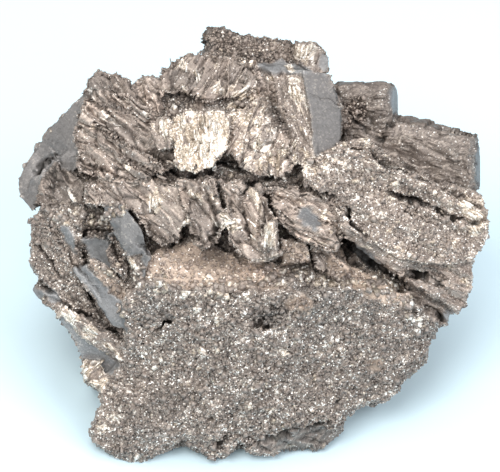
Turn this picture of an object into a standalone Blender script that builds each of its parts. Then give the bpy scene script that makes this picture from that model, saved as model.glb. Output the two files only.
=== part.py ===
"""A cabinet specimen of manganite: one intergrown mass of crystals, broken from its vein.

The specimen stands on its broken base. Its show face leans back, and everything on it is placed
in the frame of that face: across it, up it, and out from it. A sugary, fine-grained block fills
the lower front. Furrowed slabs, plates and stubby prisms grow from the mass above it and to both
sides, and a few more grow on the sides and the back. All of it is one solid.
"""

import math
import random
from dataclasses import dataclass

import bmesh
import bpy
from mathutils import Matrix, Vector, noise

MM = 0.001

# The massive rock: the voxel that fuses its blocks, and the triangles it is thinned to.
MASS_VOXEL = 1.2
MASS_TRIANGLES = 3600

# Lumps and grains of the massive rock, as wavelength and height.
LUMP_WAVELENGTH, LUMP_HEIGHT = 9.0, 0.9
GRAIN_WAVELENGTH, GRAIN_HEIGHT = 2.8, 0.5

# A slab's sides close in towards its root, in each millimetre of depth, by this share.
SLAB_UNDERCUT = 0.011

# A crystal's section has this many sides, and its corners are this square (1 is an ellipse).
SECTION_SIDES = 8
SECTION_POWER = 0.55
TIP_BEVEL = 0.14

FLOOR_CUT_DEPTH = 60.0

# Moves the finished specimen so that the middle of its base lies at the origin.
CENTRING = (0.35, -2.1, 0.0)


@dataclass(frozen=True)
class Side:
    """A side that the specimen is seen from, and the frame in which things on it are placed.

    middle is the frame's own origin in millimetres. distance is how far off the eye is from
    which widths and heights are read, or None where they are true ones.
    """

    azimuth: float
    elevation: float
    middle: tuple
    distance: float = None

    def direction(self, across, up, out):
        """World direction of a direction given across, up and out."""
        turn, tilt = math.radians(self.azimuth), math.radians(self.elevation)
        forward = up * math.sin(tilt) - out * math.cos(tilt)
        height = up * math.cos(tilt) + out * math.sin(tilt)
        x = across * math.cos(turn) - forward * math.sin(turn)
        y = across * math.sin(turn) + forward * math.cos(turn)
        return Vector((x, y, height))

    def place(self, across, up, out):
        """World place, in millimetres, of what is seen at (across, up) and stands out by out."""
        nearer = 1 - out / self.distance if self.distance else 1
        return Vector(self.middle) + self.direction(across * nearer, up * nearer, out)


SHOW = Side(azimuth=0, elevation=40, middle=(-0.4, -0.6, 26.1), distance=463.0)
BACK = Side(azimuth=180, elevation=12, middle=(0, 0, 24))
LEFT = Side(azimuth=-90, elevation=10, middle=(0, 0, 24))
RIGHT = Side(azimuth=90, elevation=10, middle=(0, 0, 24))


@dataclass
class Block:
    """A block of massive rock: a front outline that is carried back and closes in.

    Each corner is (across, up, out), peak is the middle of the front, and the back of the block
    lies at back, where its outline has shrunk to shrink times its size.
    """

    corners: list
    peak: tuple
    back: float
    shrink: float


@dataclass
class Slab:
    """A slab of crystals with a flat, tilted front, ridged along one direction.

    outline is the front's edge as (across, up) corners, out is how far its middle stands out,
    and lean is how much out grows in each millimetre across and up. The ridges run at grain
    degrees, pitch apart and relief high, and their ends are uneven by ragged. A pitch of 0 leaves
    the front smooth.
    """

    outline: list
    out: float
    lean: tuple
    grain: float = 0.0
    pitch: float = 0.0
    relief: float = 0.5
    ragged: float = 0.4
    depth: float = 13.0
    side: Side = SHOW


@dataclass
class Prism:
    """One stout crystal from root to tip, both (across, up, out), with a flat tip.

    width and depth are those of its section, roll turns it about its length, point is the size
    of its tip against its root, and slant tilts the tip's face.
    """

    root: tuple
    tip: tuple
    width: float
    depth: float
    roll: float = 0.0
    point: float = 0.95
    slant: float = 0.0
    side: Side = SHOW


@dataclass
class Furrow:
    """A crack cut into the surface from start to end, both (across, up, out)."""

    start: tuple
    end: tuple
    width: float
    depth: float
    side: Side = SHOW


BULK = Block(
    corners=[
        (-30, 11, -1), (-27, 19, -2), (-17, 25, -1), (-6, 29, -2), (8, 29, -4), (16, 21, -6),
        (27, 13, -7), (34, 6, -4), (34, -4, -4), (30, -12, -2), (25, -20, 0), (14, -28, 1),
        (-8, -30, 1), (-22, -33, 2), (-25, -24, 1), (-29, -12, -2), (-33, 0, -3),
    ],
    peak=(-2, 4, 6),
    back=-58,
    shrink=0.66,
)
SUGARY_BLOCK = Block(
    corners=[
        (-22.0, -11.5, 10), (-20.5, -9.5, 11.5), (-17.5, -7.3, 13), (-11, -9, 14), (-4, -8.3, 15),
        (2, -9.3, 15), (9, -9.5, 14.6), (16, -8.6, 13.5), (24, -9.0, 10), (29.5, -12.5, 7),
        (32.4, -14.6, 4.5), (30.8, -18, 4), (30.6, -21.1, 3), (28.0, -23.8, 3),
        (25.1, -25.7, 3), (23.6, -28.2, 3), (17.6, -29.5, 5), (15.2, -31.8, 6), (6, -34.0, 7.5),
        (0, -34.8, 8.2), (-6.5, -34.9, 8.2), (-9.8, -35.3, 7.8), (-13.2, -37.0, 7.5), (-18.7, -39.3, 6.2),
        (-22.6, -38.6, 6), (-27.6, -34.2, 4.6), (-25.2, -28.9, 5.5), (-26.4, -24.6, 4), (-23.0, -22.5, 7),
        (-21.4, -15.5, 9),
    ],
    peak=(-1, -20, 12.8),
    back=-16,
    shrink=0.92,
)
DUSTY_SHELF = Block(
    corners=[
        (-20, -7, 10), (-15, -1, 6), (-4, 0, 5), (6, -2, 4), (14, -3, 2), (24, -8, 2), (22, -12, 7),
        (0, -11, 11),
    ],
    peak=(-4, -6, 8.5),
    back=-12,
    shrink=1.0,
)
FOOT_LEDGE = Block(
    corners=[
        (3.6, -35.4, 5.4), (9.8, -36.4, 5.4), (13.2, -35.9, 4.8), (15.3, -33.0, 3.4), (14.8, -29, 1),
        (1, -29, 2),
    ],
    peak=(6, -33.5, 5.0),
    back=-14,
    shrink=1.0,
)
UPPER_MIDDLE = Block(
    corners=[
        (-19, 9, 6), (-19, 20, 4), (-15, 26, 1), (-7, 30.5, 1), (6, 29, 1), (13, 26, 2), (15, 12, 6),
        (14, 7, 7), (-2, 6, 8),
    ],
    peak=(0, 20, 6.0),
    back=-14,
    shrink=1.0,
)
TOP_CRUST = Block(
    corners=[
        (-8.6, 33.0, -6), (-6.6, 35.9, -7), (-3.0, 35.9, -8), (2, 34.4, -8), (5.5, 32.9, -7),
        (10, 32.6, -6), (12.0, 30, -4), (11.6, 27.5, -2), (4, 28.5, -1.5), (-7.5, 31, -2),
    ],
    peak=(1, 31.5, -3.2),
    back=-17,
    shrink=0.95,
)
LEFT_FLANK = Block(
    corners=[
        (-30, 20, -3), (-35, 12, -6), (-36, 7, -6), (-34, 2, -4), (-34, -8, -5), (-30, -13, -2),
        (-26, -21, 1), (-22, -20, 6), (-19, -5, 7), (-20, 8, 5), (-24, 19, 2),
    ],
    peak=(-26, 0, 2.0),
    back=-16,
    shrink=0.9,
)
LEFT_FOOT = Block(
    corners=[
        (-10.6, -34.6, 8), (-10.3, -36.5, 7.4), (-8.0, -37.1, 6.9), (-6.2, -38.7, 6.6), (-4.3, -37.7, 6.2),
        (-2.2, -36.4, 5.6), (-2.6, -34.2, 6),
    ],
    peak=(-6.6, -36.0, 7.4),
    back=-6,
    shrink=0.9,
)
RIGHT_FOOT = Block(
    corners=[(-0.4, -34.4, 7.2), (0.2, -36.9, 6.4), (3.8, -36.9, 6.4), (4.2, -34.4, 7.0)],
    peak=(2.0, -35.6, 7.2),
    back=-6,
    shrink=0.9,
)
BLOCKS = (
    BULK, SUGARY_BLOCK, DUSTY_SHELF, FOOT_LEDGE, LEFT_FOOT, RIGHT_FOOT, UPPER_MIDDLE, TOP_CRUST, LEFT_FLANK,
)

# Broad breaks that close the back, sides and underside: a point and an outward normal, in
# millimetres and in the specimen's own frame.
BREAKS = (
    ((0, 29, 20), (0.10, 1.0, 0.0)),
    ((0, 27, 10), (-0.15, 1.0, -0.45)),
    ((-22, 22, 20), (-0.75, 0.65, 0.10)),
    ((24, 20, 20), (0.70, 0.72, -0.05)),
    ((0, 29, 50), (0.10, 0.75, 0.65)),
    ((-30, 0, 8), (-0.85, 0.15, -0.50)),
    ((35, 0, 9), (0.80, 0.10, -0.60)),
)

SLABS = {
    "left bundle": Slab(
        [(-29.9, 20.5), (-27.4, 24.2), (-23.9, 25.2), (-17, 22.3), (-13.3, 16.4), (-12.6, 11.6),
         (-17, 9.6), (-23.9, 9.7), (-29.3, 10.4), (-30.2, 16.4)],
        7.2, (0.22, -0.12), -36, 1.9, 0.75,
    ),
    "left head": Slab(
        [(-28.7, 24.4), (-27.8, 27.0), (-26.1, 28.4), (-22.9, 27.9), (-20, 26.1), (-18.8, 24.1),
         (-20.8, 21.2), (-25.6, 21.9)],
        5.4, (0.1, -0.35), -58, 2.2, 0.6,
    ),
    "second head": Slab(
        [(-20, 25.9), (-18.3, 27.4), (-15.9, 27.2), (-14.3, 24.6), (-15.4, 20.8), (-17.9, 19.6),
         (-20.1, 22.3)],
        5.2, (0.1, -0.3), -55, 2.0, 0.6,
    ),
    "speckled head": Slab(
        [(-15.4, 24.9), (-15.0, 28.6), (-11.8, 30.6), (-8.5, 31.0), (-3.4, 30.4), (0.9, 29.2), (2, 25.8),
         (-1.7, 23.6), (-7.7, 22.9), (-11.1, 24.3)],
        4.4, (0.0, -0.42), 62, 2.4, 0.7,
    ),
    "bright fan": Slab(
        [(-13.5, 20.3), (-10.9, 21.4), (-4.4, 21.2), (-3.1, 18.9), (-4.1, 14.7), (-5.8, 11.9), (-9.5, 10.1),
         (-12.3, 11.2), (-13.3, 15.5)],
        11.8, (0.05, -0.26), 98, 1.7, 0.5,
    ),
    "fan, left lobe": Slab(
        [(-17.4, 19.4), (-15.4, 20.3), (-13.4, 19.6), (-13.1, 14.9), (-15.4, 14.1), (-17.1, 16)],
        10.2, (0.1, -0.25), 104, 1.5, 0.45,
    ),
    "speckled middle": Slab(
        [(-4.6, 20.6), (2, 23.6), (6, 22.0), (7.8, 17.2), (8.5, 13), (6.2, 9.9), (2, 10.0), (-1.7, 11.4),
         (-4.3, 14.7)],
        10.2, (0.05, -0.3), 74, 2.0, 0.8,
    ),
    "upper slope": Slab(
        [(-3.1, 29.9), (2, 29.4), (9.0, 28.4), (9.8, 23.2), (6.1, 21.9), (2, 23.6), (-1.7, 23.2)],
        4.2, (0.12, -0.5), -62, 2.2, 0.7,
    ),
    "grey face": Slab(
        [(8.8, 28.3), (13.4, 27.7), (15.3, 22.7), (15.5, 16.7), (12.8, 12.1), (10.9, 13.9), (10.1, 21.5)],
        8.8, (-0.32, -0.18),
    ),
    "speckled ridge": Slab(
        [(3.6, 26.3), (8.7, 27.6), (10.4, 22.3), (11.5, 13.6), (8.5, 12.3), (6.6, 18.1)],
        8.6, (0.22, -0.3), -66, 1.7, 0.6,
    ),
    "right slab, upper": Slab(
        [(11.0, 13.6), (15.5, 16.0), (19.8, 16.3), (26.3, 11.9), (32.4, 9.2), (39.6, 7.2), (40.8, 4.3),
         (40.4, 1.0), (31.5, 3.0), (23.5, 7.4), (13, 8.5)],
        8.0, (-0.16, -0.02), -24, 2.2, 0.8,
    ),
    "right slab, lower": Slab(
        [(8.5, 12.4), (12.8, 12.6), (23.0, 8.0), (31.5, 3.8), (40.2, 2.0), (40.8, 0.3), (38.4, -4.3),
         (32.4, -4.9), (28.7, -4.6), (25.6, -3.9), (20.1, -1.2), (16.2, 2.0), (13.6, 6.1), (9.0, 8.5)],
        9.2, (-0.17, -0.10), -26, 2.5, 0.7,
    ),
    "slab lip": Slab(
        [(14.9, 2.7), (17.4, 1.8), (20.8, -0.9), (25.6, -3.5), (28.5, -4.4), (28.1, -6.2), (25.6, -7.2),
         (22.2, -5.8), (18.8, -2.9), (15.9, -0.6)],
        8.6, (-0.05, 0.42), -32, 1.3, 0.3, 0.1,
    ),
    "lower right blades": Slab(
        [(26.6, -7.4), (29, -4.6), (38.0, -3.2), (37.8, -8.4), (37.0, -11.4), (34.8, -13.2), (30.7, -10.6),
         (28.1, -8.6)],
        5.0, (-0.15, 0.25), -31, 1.5, 0.8,
    ),
    "lowest right blades": Slab(
        [(27, -7.6), (29.9, -9.2), (34.8, -12.0), (33.8, -15.0), (31.9, -15.2), (29.9, -13.5), (26.5, -10.9)],
        3.6, (-0.1, 0.2), -36, 1.3, 0.6,
    ),
    "row, first": Slab(
        [(-12.6, 9.2), (-6, 9.6), (-4.8, 6.1), (-4.1, 1.4), (-5.8, -1.5), (-7.8, -2.4), (-9.7, -0.7),
         (-10.9, 3.6)],
        11.6, (0.1, -0.15), -62, 1.7, 0.7,
    ),
    "row, second": Slab(
        [(-5.4, 9.6), (2, 8.5), (4.4, 2.7), (4.6, -3.2), (2, -4.4), (-1.7, -3.8), (-3.6, -0.7), (-4.1, 5.3)],
        12.4, (0.05, -0.14), -76, 2.0, 0.7,
    ),
    "row, bright block": Slab(
        [(1.8, 2.6), (4.5, 2.9), (4.9, -3.4), (2.7, -4.3), (1.5, -0.7)], 14.0, (0.1, -0.06),
    ),
    "row, third": Slab(
        [(2.6, 8.2), (8.5, 8.6), (16.2, 5.3), (17.4, 2.4), (16.2, -1.5), (13.6, -2.7), (8.5, -0.7),
         (5.4, 1.9)],
        10.2, (-0.1, -0.12), -28, 2.0, 0.7,
    ),
    "row, tan block": Slab(
        [(5.4, -0.5), (9.4, -1.0), (9.9, -4.4), (5.8, -5.0)], 9.4, (0.1, -0.05),
    ),
    "row, dark foot": Slab(
        [(10.3, -1.6), (13.6, -2.9), (16.9, -5.6), (15.0, -7.6), (11.0, -5.6)],
        7.6, (0.0, 0.2), -40, 1.6, 0.4,
    ),
    "tan shoulder": Slab(
        [(-28.3, 9.2), (-23.9, 9.9), (-17, 9.6), (-12.3, 8.9), (-10.9, 3.6), (-11.9, -0.9), (-15.4, -1.9),
         (-17.7, 0.7), (-19.6, 4.1), (-24.9, 5.3), (-28, 5.1)],
        8.2, (0.16, -0.1), -42, 2.3, 0.7,
    ),
    "upper plate": Slab(
        [(-24.9, 4.9), (-22.0, 5.6), (-18.6, 1.4), (-17, -3.8), (-18.1, -7.7), (-20.5, -4.4), (-23.5, 0.7)],
        9.4, (0.30, -0.1),
    ),
    "window face": Slab([(-29, 0), (-23.3, 0.6), (-22.4, -5.8), (-27.3, -5.8)], 4.6, (0.1, 0.0)),
    "window's right side": Slab(
        [(-24.2, 0.2), (-22.4, -1.0), (-20.6, -5.4), (-21.4, -7.6), (-23.2, -5.2), (-24.0, -3.6)],
        8.0, (0.2, 0.0), -70, 1.0, 0.5,
    ),
    "pink strip": Slab(
        [(-27.6, -3.8), (-26.3, -3.8), (-21.2, -8.4), (-20.6, -11.8), (-22.5, -10.9), (-25.6, -7.5)],
        7.2, (0.1, 0.1),
    ),
    "long plate": Slab(
        [(-30.4, -5.5), (-27.6, -4.8), (-21.8, -11.4), (-21.0, -16.2), (-23.5, -15.7), (-26.4, -10.9)],
        6.8, (0.26, -0.05),
    ),
    "left blades": Slab(
        [(-37.3, 3.2), (-33.4, 5.9), (-28.1, 5.1), (-28.6, 0), (-28.7, -5.0), (-30.4, -5.8), (-25.8, -13.5),
         (-24.4, -16.3), (-27.3, -15.2), (-32.6, -13.2), (-35.2, -12.0), (-37.1, -9.2), (-36.3, -7.2),
         (-37.4, -4.6), (-37.3, -1.2)],
        2.6, (0.34, 0.0), -52, 2.0, 0.8, 0.6, 9.0,
    ),
    "spindle": Slab(
        [(-32.9, -12.9), (-31.1, -11.9), (-25.6, -15.5), (-21.8, -19.2), (-21.0, -21.9), (-24.9, -19.8),
         (-29, -16.9)],
        6.0, (0.3, 0.12), -41, 1.2, 0.4, 0.0, 7.5,
    ),
    "spindle's foot": Slab(
        [(-32.8, -13.3), (-29, -16.9), (-24.9, -19.8), (-21.6, -22.2), (-24.7, -23.7), (-28.5, -20.8)],
        3.6, (0.3, 0.4), 0.0, 0.0, 0.0, 0.0, 6.5,
    ),
    "lower knobs": Slab(
        [(-28.9, -20.6), (-25.6, -21.5), (-24.4, -24.2), (-25.0, -26.9), (-27.8, -25.2)],
        3.8, (0.2, 0.0), 40, 1.8, 0.8,
    ),
    "far left plate": Slab(
        [(-27.6, 24.9), (-28.2, 20.8), (-28.2, 16.4), (-29.6, 11.6), (-33.5, 7.2), (-37.2, 4.2), (-39.2, 6.8),
         (-39.6, 9.2), (-38.6, 11.8), (-36.8, 14.6), (-33.7, 18.6), (-30.6, 22.0)],
        -1.6, (0.48, -0.22), 0.0, 0.0, 0.0, 0.0, 11.0,
    ),
    "far left knob": Slab(
        [(-36.8, 5.0), (-35.4, 10.2), (-33.1, 12.4), (-29.9, 10.9), (-28.3, 9.0), (-28.3, 5.3), (-32.4, 5.1)],
        1.9, (0.32, -0.28), -60, 1.8, 0.5,
    ),
    "crust lump": Slab(
        [(7.6, 32.7), (11.2, 32.9), (13.3, 30.6), (13.5, 27.9), (11.6, 27.3), (8.0, 29.7)],
        -2.0, (0.0, -0.25), 75, 1.8, 0.6, 0.3, 8.0,
    ),
    "back slab, high": Slab(
        [(-20, 4), (-11, 12), (1, 14), (9, 8), (4, -1), (-11, -3)],
        29.0, (0.12, -0.35), 28, 2.6, 0.9, 0.6, 16.0, BACK,
    ),
    "back slab, low": Slab(
        [(2, -2), (14, 3), (23, -2), (22, -12), (10, -16), (0, -11)],
        28.0, (-0.22, 0.12), -34, 2.6, 0.9, 0.6, 16.0, BACK,
    ),
    "back slab, foot": Slab(
        [(-25, -5), (-14, -3), (-4, -8), (-6, -18), (-20, -19), (-26, -13)],
        27.0, (0.2, 0.18), 15, 2.8, 0.8, 0.6, 16.0, BACK,
    ),
    "left side slab": Slab(
        [(-20, 1), (-10, 6), (1, 2), (3, -8), (-8, -14), (-19, -10)],
        31.0, (0.1, 0.15), 40, 2.4, 0.8, 0.6, 14.0, LEFT,
    ),
    "right side slab": Slab(
        [(-1, -4), (8, 2), (18, -1), (20, -10), (8, -16), (-2, -12)],
        32.0, (-0.12, 0.1), -30, 2.4, 0.8, 0.6, 14.0, RIGHT,
    ),
}

PRISMS = {
    "right prism, upper": Prism((9.0, 21.2, -8), (24.1, 21.5, -4.4), 9.8, 9.0, 0.1, 0.97),
    "right prism, lower": Prism((17.0, 17.1, -7), (38.0, 12.0, -2.5), 10.8, 9.0, 0.3, 0.97, 0.2),
    "back prism, high": Prism((6, 6, 14), (15, 9, 26), 7.5, 7.0, 0.4, 0.95, 0.1, BACK),
    "back prism, middle": Prism((-4, -2, 16), (-11, -1, 31), 7.0, 6.5, 0.2, 0.92, 0.15, BACK),
    "back prism, low": Prism((2, -8, 16), (6, -12, 31), 6.5, 6.0, 0.7, 0.9, -0.1, BACK),
    "left side prism": Prism((-6, 2, 18), (-14, 7, 27), 6.5, 6.0, 0.3, 0.93, 0.1, LEFT),
    "right side prism": Prism((8, 0, 16), (15, 4, 31), 6.5, 6.0, 0.5, 0.93, 0.1, RIGHT),
}

FURROWS = (
    Furrow((-29.5, 10.8, 5.5), (-23.0, 7.6, 8.0), 1.1, 2.2),
    Furrow((-28.6, 20.6, 6.5), (-20.2, 14.4, 8.5), 0.9, 1.6),
    Furrow((-23.4, 14.0, 8.0), (-14.6, 9.6, 10.0), 0.9, 1.8),
    Furrow((-17.6, 13.4, 9.4), (-11.6, 10.4, 12.0), 1.3, 3.0),
    Furrow((24.0, 7.0, 9.0), (38.8, 1.6, 6.8), 1.0, 2.4),
    Furrow((12.0, 8.0, 10.6), (18.2, 2.0, 10.6), 1.1, 2.6),
    Furrow((29.4, -5.6, 6.6), (35.0, -7.8, 6.0), 1.1, 2.6),
    Furrow((29.6, -11.4, 4.2), (33.2, -15.0, 3.6), 1.1, 2.4),
    Furrow((-33.4, -11.0, 5.0), (-22.8, -17.2, 9.0), 1.5, 4.6),
    Furrow((-10.4, 9.8, 13.0), (-3.6, 9.8, 14.0), 1.4, 3.4),
    Furrow((-4.9, 8.4, 13.8), (-3.4, -1.6, 14.6), 1.2, 3.4),
    Furrow((5.2, 7.4, 12.6), (5.2, -3.0, 12.8), 1.2, 3.2),
    Furrow((-1.8, 10.6, 13.6), (5.2, 9.4, 13.4), 1.6, 3.8),
)

# Notches cut between crystals: (across, up, out) of the middle, size across, up and deep, and
# the turn in the plane of the show face.
NOTCHES = {
    "pit above the fan": ((-12.6, 22.6, 6.6), (6.0, 2.2, 5.0), 0.1),
    "pit in the far left plate": ((-35.2, 12.3, 0.8), (2.6, 1.8, 6.0), -0.6),
    "slot in the sugary face": ((-14.7, -15.1, 13.0), (2.4, 0.8, 4.0), 0.5),
    "slot by the dark patch": ((2.2, -15.6, 14.2), (1.8, 0.9, 4.0), -0.6),
}

# Arches under the sugary block's lower edge: (across, up, out) of the middle, and the radius.
ARCHES = {
    "small arch": ((-11.8, -36.5, 6.2), 1.7),
    "wide arch": ((-1.6, -36.2, 5.6), 1.9),
}


def clear_scene():
    """Removes every object that the file starts with."""
    for old in list(bpy.data.objects):
        bpy.data.objects.remove(old)


def add_object(name, mesh, collection):
    """A new object that holds mesh, in collection."""
    made = bpy.data.objects.new(name, mesh)
    collection.objects.link(made)
    return made


def mesh_from(bm, name):
    """A mesh with bm's faces, in metres. bm is freed."""
    bmesh.ops.recalc_face_normals(bm, faces=bm.faces)
    bmesh.ops.scale(bm, vec=(MM, MM, MM), verts=bm.verts)
    mesh = bpy.data.meshes.new(name)
    bm.to_mesh(mesh)
    bm.free()
    return mesh


def evaluated_mesh(obj):
    """A copy of obj's mesh with its modifiers applied."""
    graph = bpy.context.evaluated_depsgraph_get()
    return bpy.data.meshes.new_from_object(obj.evaluated_get(graph))


def carry_back(bm, front, shift):
    """Extrudes the face that joins the verts in front, and moves each new vert by shift(vert)."""
    outline = bm.faces.new(front)
    extruded = bmesh.ops.extrude_face_region(bm, geom=[outline], use_keep_orig=True)["geom"]
    for item in extruded:
        if isinstance(item, bmesh.types.BMVert):
            item.co = shift(item.co)
    return outline


def add_block(bm, block):
    """Adds a block of massive rock to bm: its front fan, its sides and its back."""
    middle_across, middle_up, _ = block.peak

    def rear(corner):
        across = middle_across + (corner.x - middle_across) * block.shrink
        up = middle_up + (corner.y - middle_up) * block.shrink
        return Vector((across, up, block.back))

    front = [bm.verts.new(corner) for corner in block.corners]
    outline = carry_back(bm, front, rear)
    fan = bmesh.ops.poke(bm, faces=[outline])["verts"]
    fan[0].co = block.peak
    for vert in bm.verts:
        vert.co = SHOW.place(*vert.co)


def chisel(bm, point, normal):
    """Breaks bm off flat at a plane, and closes the break."""
    everything = bm.verts[:] + bm.edges[:] + bm.faces[:]
    cut = bmesh.ops.bisect_plane(bm, geom=everything, plane_co=point, plane_no=normal, clear_outer=True)
    edges = [item for item in cut["geom_cut"] if isinstance(item, bmesh.types.BMEdge)]
    if edges:
        bmesh.ops.holes_fill(bm, edges=edges)


def rough(point):
    """How far the massive rock's surface stands out at a point, in millimetres: lumps and grains."""
    lumps = noise.noise(point / LUMP_WAVELENGTH)
    grains = noise.noise(point / GRAIN_WAVELENGTH)
    return LUMP_HEIGHT * lumps + GRAIN_HEIGHT * grains


def massive_rock(collection):
    """The massive rock: its blocks fused, roughened and thinned to a moderate number of faces."""
    whole = bmesh.new()
    for block in BLOCKS:
        bm = bmesh.new()
        add_block(bm, block)
        for point, normal in BREAKS:
            chisel(bm, point, normal)
        bmesh.ops.recalc_face_normals(bm, faces=bm.faces)
        chiselled = bpy.data.meshes.new("block")
        bm.to_mesh(chiselled)
        bm.free()
        whole.from_mesh(chiselled)
    rock = add_object("massive_rock", mesh_from(whole, "massive_rock"), collection)
    fuse = rock.modifiers.new("fuse", "REMESH")
    fuse.mode = "VOXEL"
    fuse.voxel_size = MASS_VOXEL * MM
    mesh = evaluated_mesh(rock)
    normals = [vert.normal.copy() for vert in mesh.vertices]
    for vert, normal in zip(mesh.vertices, normals):
        vert.co += normal * rough(vert.co / MM) * MM
    rock.modifiers.clear()
    rock.data = mesh
    triangles = sum(len(face.vertices) - 2 for face in mesh.polygons)
    thin = rock.modifiers.new("thin", "DECIMATE")
    thin.ratio = min(1.0, MASS_TRIANGLES / triangles)
    rock.data = evaluated_mesh(rock)
    rock.modifiers.clear()
    return rock


def ridge_lines(slab, rng):
    """Places of the ridge lines across a slab, each with its own height and shift, by chance."""
    angle = math.radians(slab.grain)
    across = Vector((-math.sin(angle), math.cos(angle), 0))
    reach = [across.x * a + across.y * u for a, u in slab.outline]
    lines = []
    at = min(reach) + slab.pitch * rng.uniform(0.3, 0.8)
    while at < max(reach) - 0.25 * slab.pitch:
        height = rng.uniform(-1, 1) * slab.relief
        shift = rng.uniform(-1, 1) * slab.ragged
        lines.append((at, height, shift))
        at += slab.pitch * rng.uniform(0.7, 1.3)
    return across, lines


def add_slab(collection, name, slab):
    """Adds one slab, a closed solid of its own for the union."""
    rng = random.Random(name)
    middle = Vector((sum(a for a, _ in slab.outline), sum(u for _, u in slab.outline), 0)) / len(slab.outline)

    def front_out(across, up):
        return slab.out + slab.lean[0] * (across - middle.x) + slab.lean[1] * (up - middle.y)

    def rear(corner):
        inward = 1 - SLAB_UNDERCUT * slab.depth
        across = middle.x + (corner.x - middle.x) * inward
        up = middle.y + (corner.y - middle.y) * inward
        return Vector((across, up, slab.out - slab.depth))

    bm = bmesh.new()
    front = [bm.verts.new((a, u, front_out(a, u))) for a, u in slab.outline]
    carry_back(bm, front, rear)
    if slab.pitch:
        across, lines = ridge_lines(slab, rng)
        for at, _, _ in lines:
            everything = bm.verts[:] + bm.edges[:] + bm.faces[:]
            bmesh.ops.bisect_plane(bm, geom=everything, plane_co=across * at, plane_no=across)
        bmesh.ops.triangulate(bm, faces=bm.faces)
        along = Vector((across.y, -across.x, 0))
        for vert in bm.verts:
            if vert.co.z < front_out(vert.co.x, vert.co.y) - 0.5:
                continue
            at, height, shift = min(lines, key=lambda line: abs(line[0] - vert.co.dot(across)))
            if abs(at - vert.co.dot(across)) < 0.01:
                outward = 1 if (vert.co - middle).dot(along) > 0 else -1
                vert.co += Vector((0, 0, height)) + along * shift * outward
    for vert in bm.verts:
        vert.co = slab.side.place(*vert.co)
    bmesh.ops.triangulate(bm, faces=bm.faces)
    add_object(name, mesh_from(bm, name), collection)


def add_prism(collection, name, prism):
    """Adds one prism: eight flat sides and a bevelled tip."""
    root, tip = prism.side.place(*prism.root), prism.side.place(*prism.tip)
    length = tip - root
    bm = bmesh.new()
    bmesh.ops.create_cone(
        bm, cap_ends=True, segments=SECTION_SIDES, radius1=1, radius2=1, depth=length.length
    )
    turn = Matrix.Rotation(math.pi / SECTION_SIDES, 3, "Z")
    bmesh.ops.rotate(bm, verts=bm.verts, cent=(0, 0, 0), matrix=turn)
    tip_face = max(bm.faces, key=lambda face: face.calc_center_median().z)
    for vert in bm.verts:
        size = prism.point if vert.co.z > 0 else 1.0
        across = math.copysign(abs(vert.co.x) ** SECTION_POWER, vert.co.x)
        through = math.copysign(abs(vert.co.y) ** SECTION_POWER, vert.co.y)
        vert.co.x = across * size * prism.width / 2
        vert.co.y = through * size * prism.depth / 2
        if vert.co.z > 0:
            vert.co.z += prism.slant * vert.co.x
    bevel = TIP_BEVEL * min(prism.width, prism.depth)
    bmesh.ops.inset_individual(bm, faces=[tip_face], thickness=bevel, depth=0)
    bmesh.ops.translate(bm, verts=tip_face.verts, vec=(0, 0, bevel * 0.6))
    axis = length.normalized()
    width = axis.cross(prism.side.direction(0, 0, 1)).normalized()
    through = axis.cross(width)
    spin = Matrix.Rotation(prism.roll, 3, axis)
    frame = Matrix((spin @ width, spin @ through, axis)).transposed().to_4x4()
    frame.translation = (root + tip) / 2
    bmesh.ops.transform(bm, matrix=frame, verts=bm.verts)
    add_object(name, mesh_from(bm, name), collection)


def add_furrow(collection, name, furrow):
    """Adds the four-sided spindle that cuts one crack."""
    start, end = furrow.side.place(*furrow.start), furrow.side.place(*furrow.end)
    length = end - start
    bm = bmesh.new()
    bmesh.ops.create_cone(bm, cap_ends=True, segments=4, radius1=0.35, radius2=0.35, depth=1)
    edges = [edge for edge in bm.edges if abs(edge.verts[0].co.z - edge.verts[1].co.z) > 0.5]
    ring = bmesh.ops.subdivide_edges(bm, edges=edges, cuts=1)["geom_inner"]
    for vert in {item for item in ring if isinstance(item, bmesh.types.BMVert)}:
        vert.co.x, vert.co.y = vert.co.x / 0.35, vert.co.y / 0.35
    axis = length.normalized()
    width = axis.cross(furrow.side.direction(0, 0, 1)).normalized()
    through = axis.cross(width)
    frame = Matrix((width * furrow.width / 2, through * furrow.depth, length)).transposed().to_4x4()
    frame.translation = (start + end) / 2
    bmesh.ops.transform(bm, matrix=frame, verts=bm.verts)
    add_object(name, mesh_from(bm, name), collection)


def add_notch(collection, name, middle, size, turn):
    """Adds the box that cuts one notch, square to the show face and turned in its plane."""
    bm = bmesh.new()
    bmesh.ops.create_cube(bm, size=1)
    bmesh.ops.scale(bm, vec=size, verts=bm.verts)
    axes = Matrix((SHOW.direction(1, 0, 0), SHOW.direction(0, 1, 0), SHOW.direction(0, 0, 1)))
    frame = (axes.transposed() @ Matrix.Rotation(turn, 3, "Z")).to_4x4()
    frame.translation = SHOW.place(*middle)
    bmesh.ops.transform(bm, matrix=frame, verts=bm.verts)
    add_object(name, mesh_from(bm, name), collection)


def add_arch(collection, name, middle, radius):
    """Adds the lying eight-sided drum that cuts one arch under the front edge."""
    bm = bmesh.new()
    bmesh.ops.create_cone(bm, cap_ends=True, segments=8, radius1=radius, radius2=radius * 0.7, depth=9)
    bmesh.ops.rotate(bm, verts=bm.verts, cent=(0, 0, 0), matrix=Matrix.Rotation(-math.pi / 2, 3, "X"))
    bmesh.ops.translate(bm, verts=bm.verts, vec=SHOW.place(*middle))
    add_object(name, mesh_from(bm, name), collection)


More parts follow.
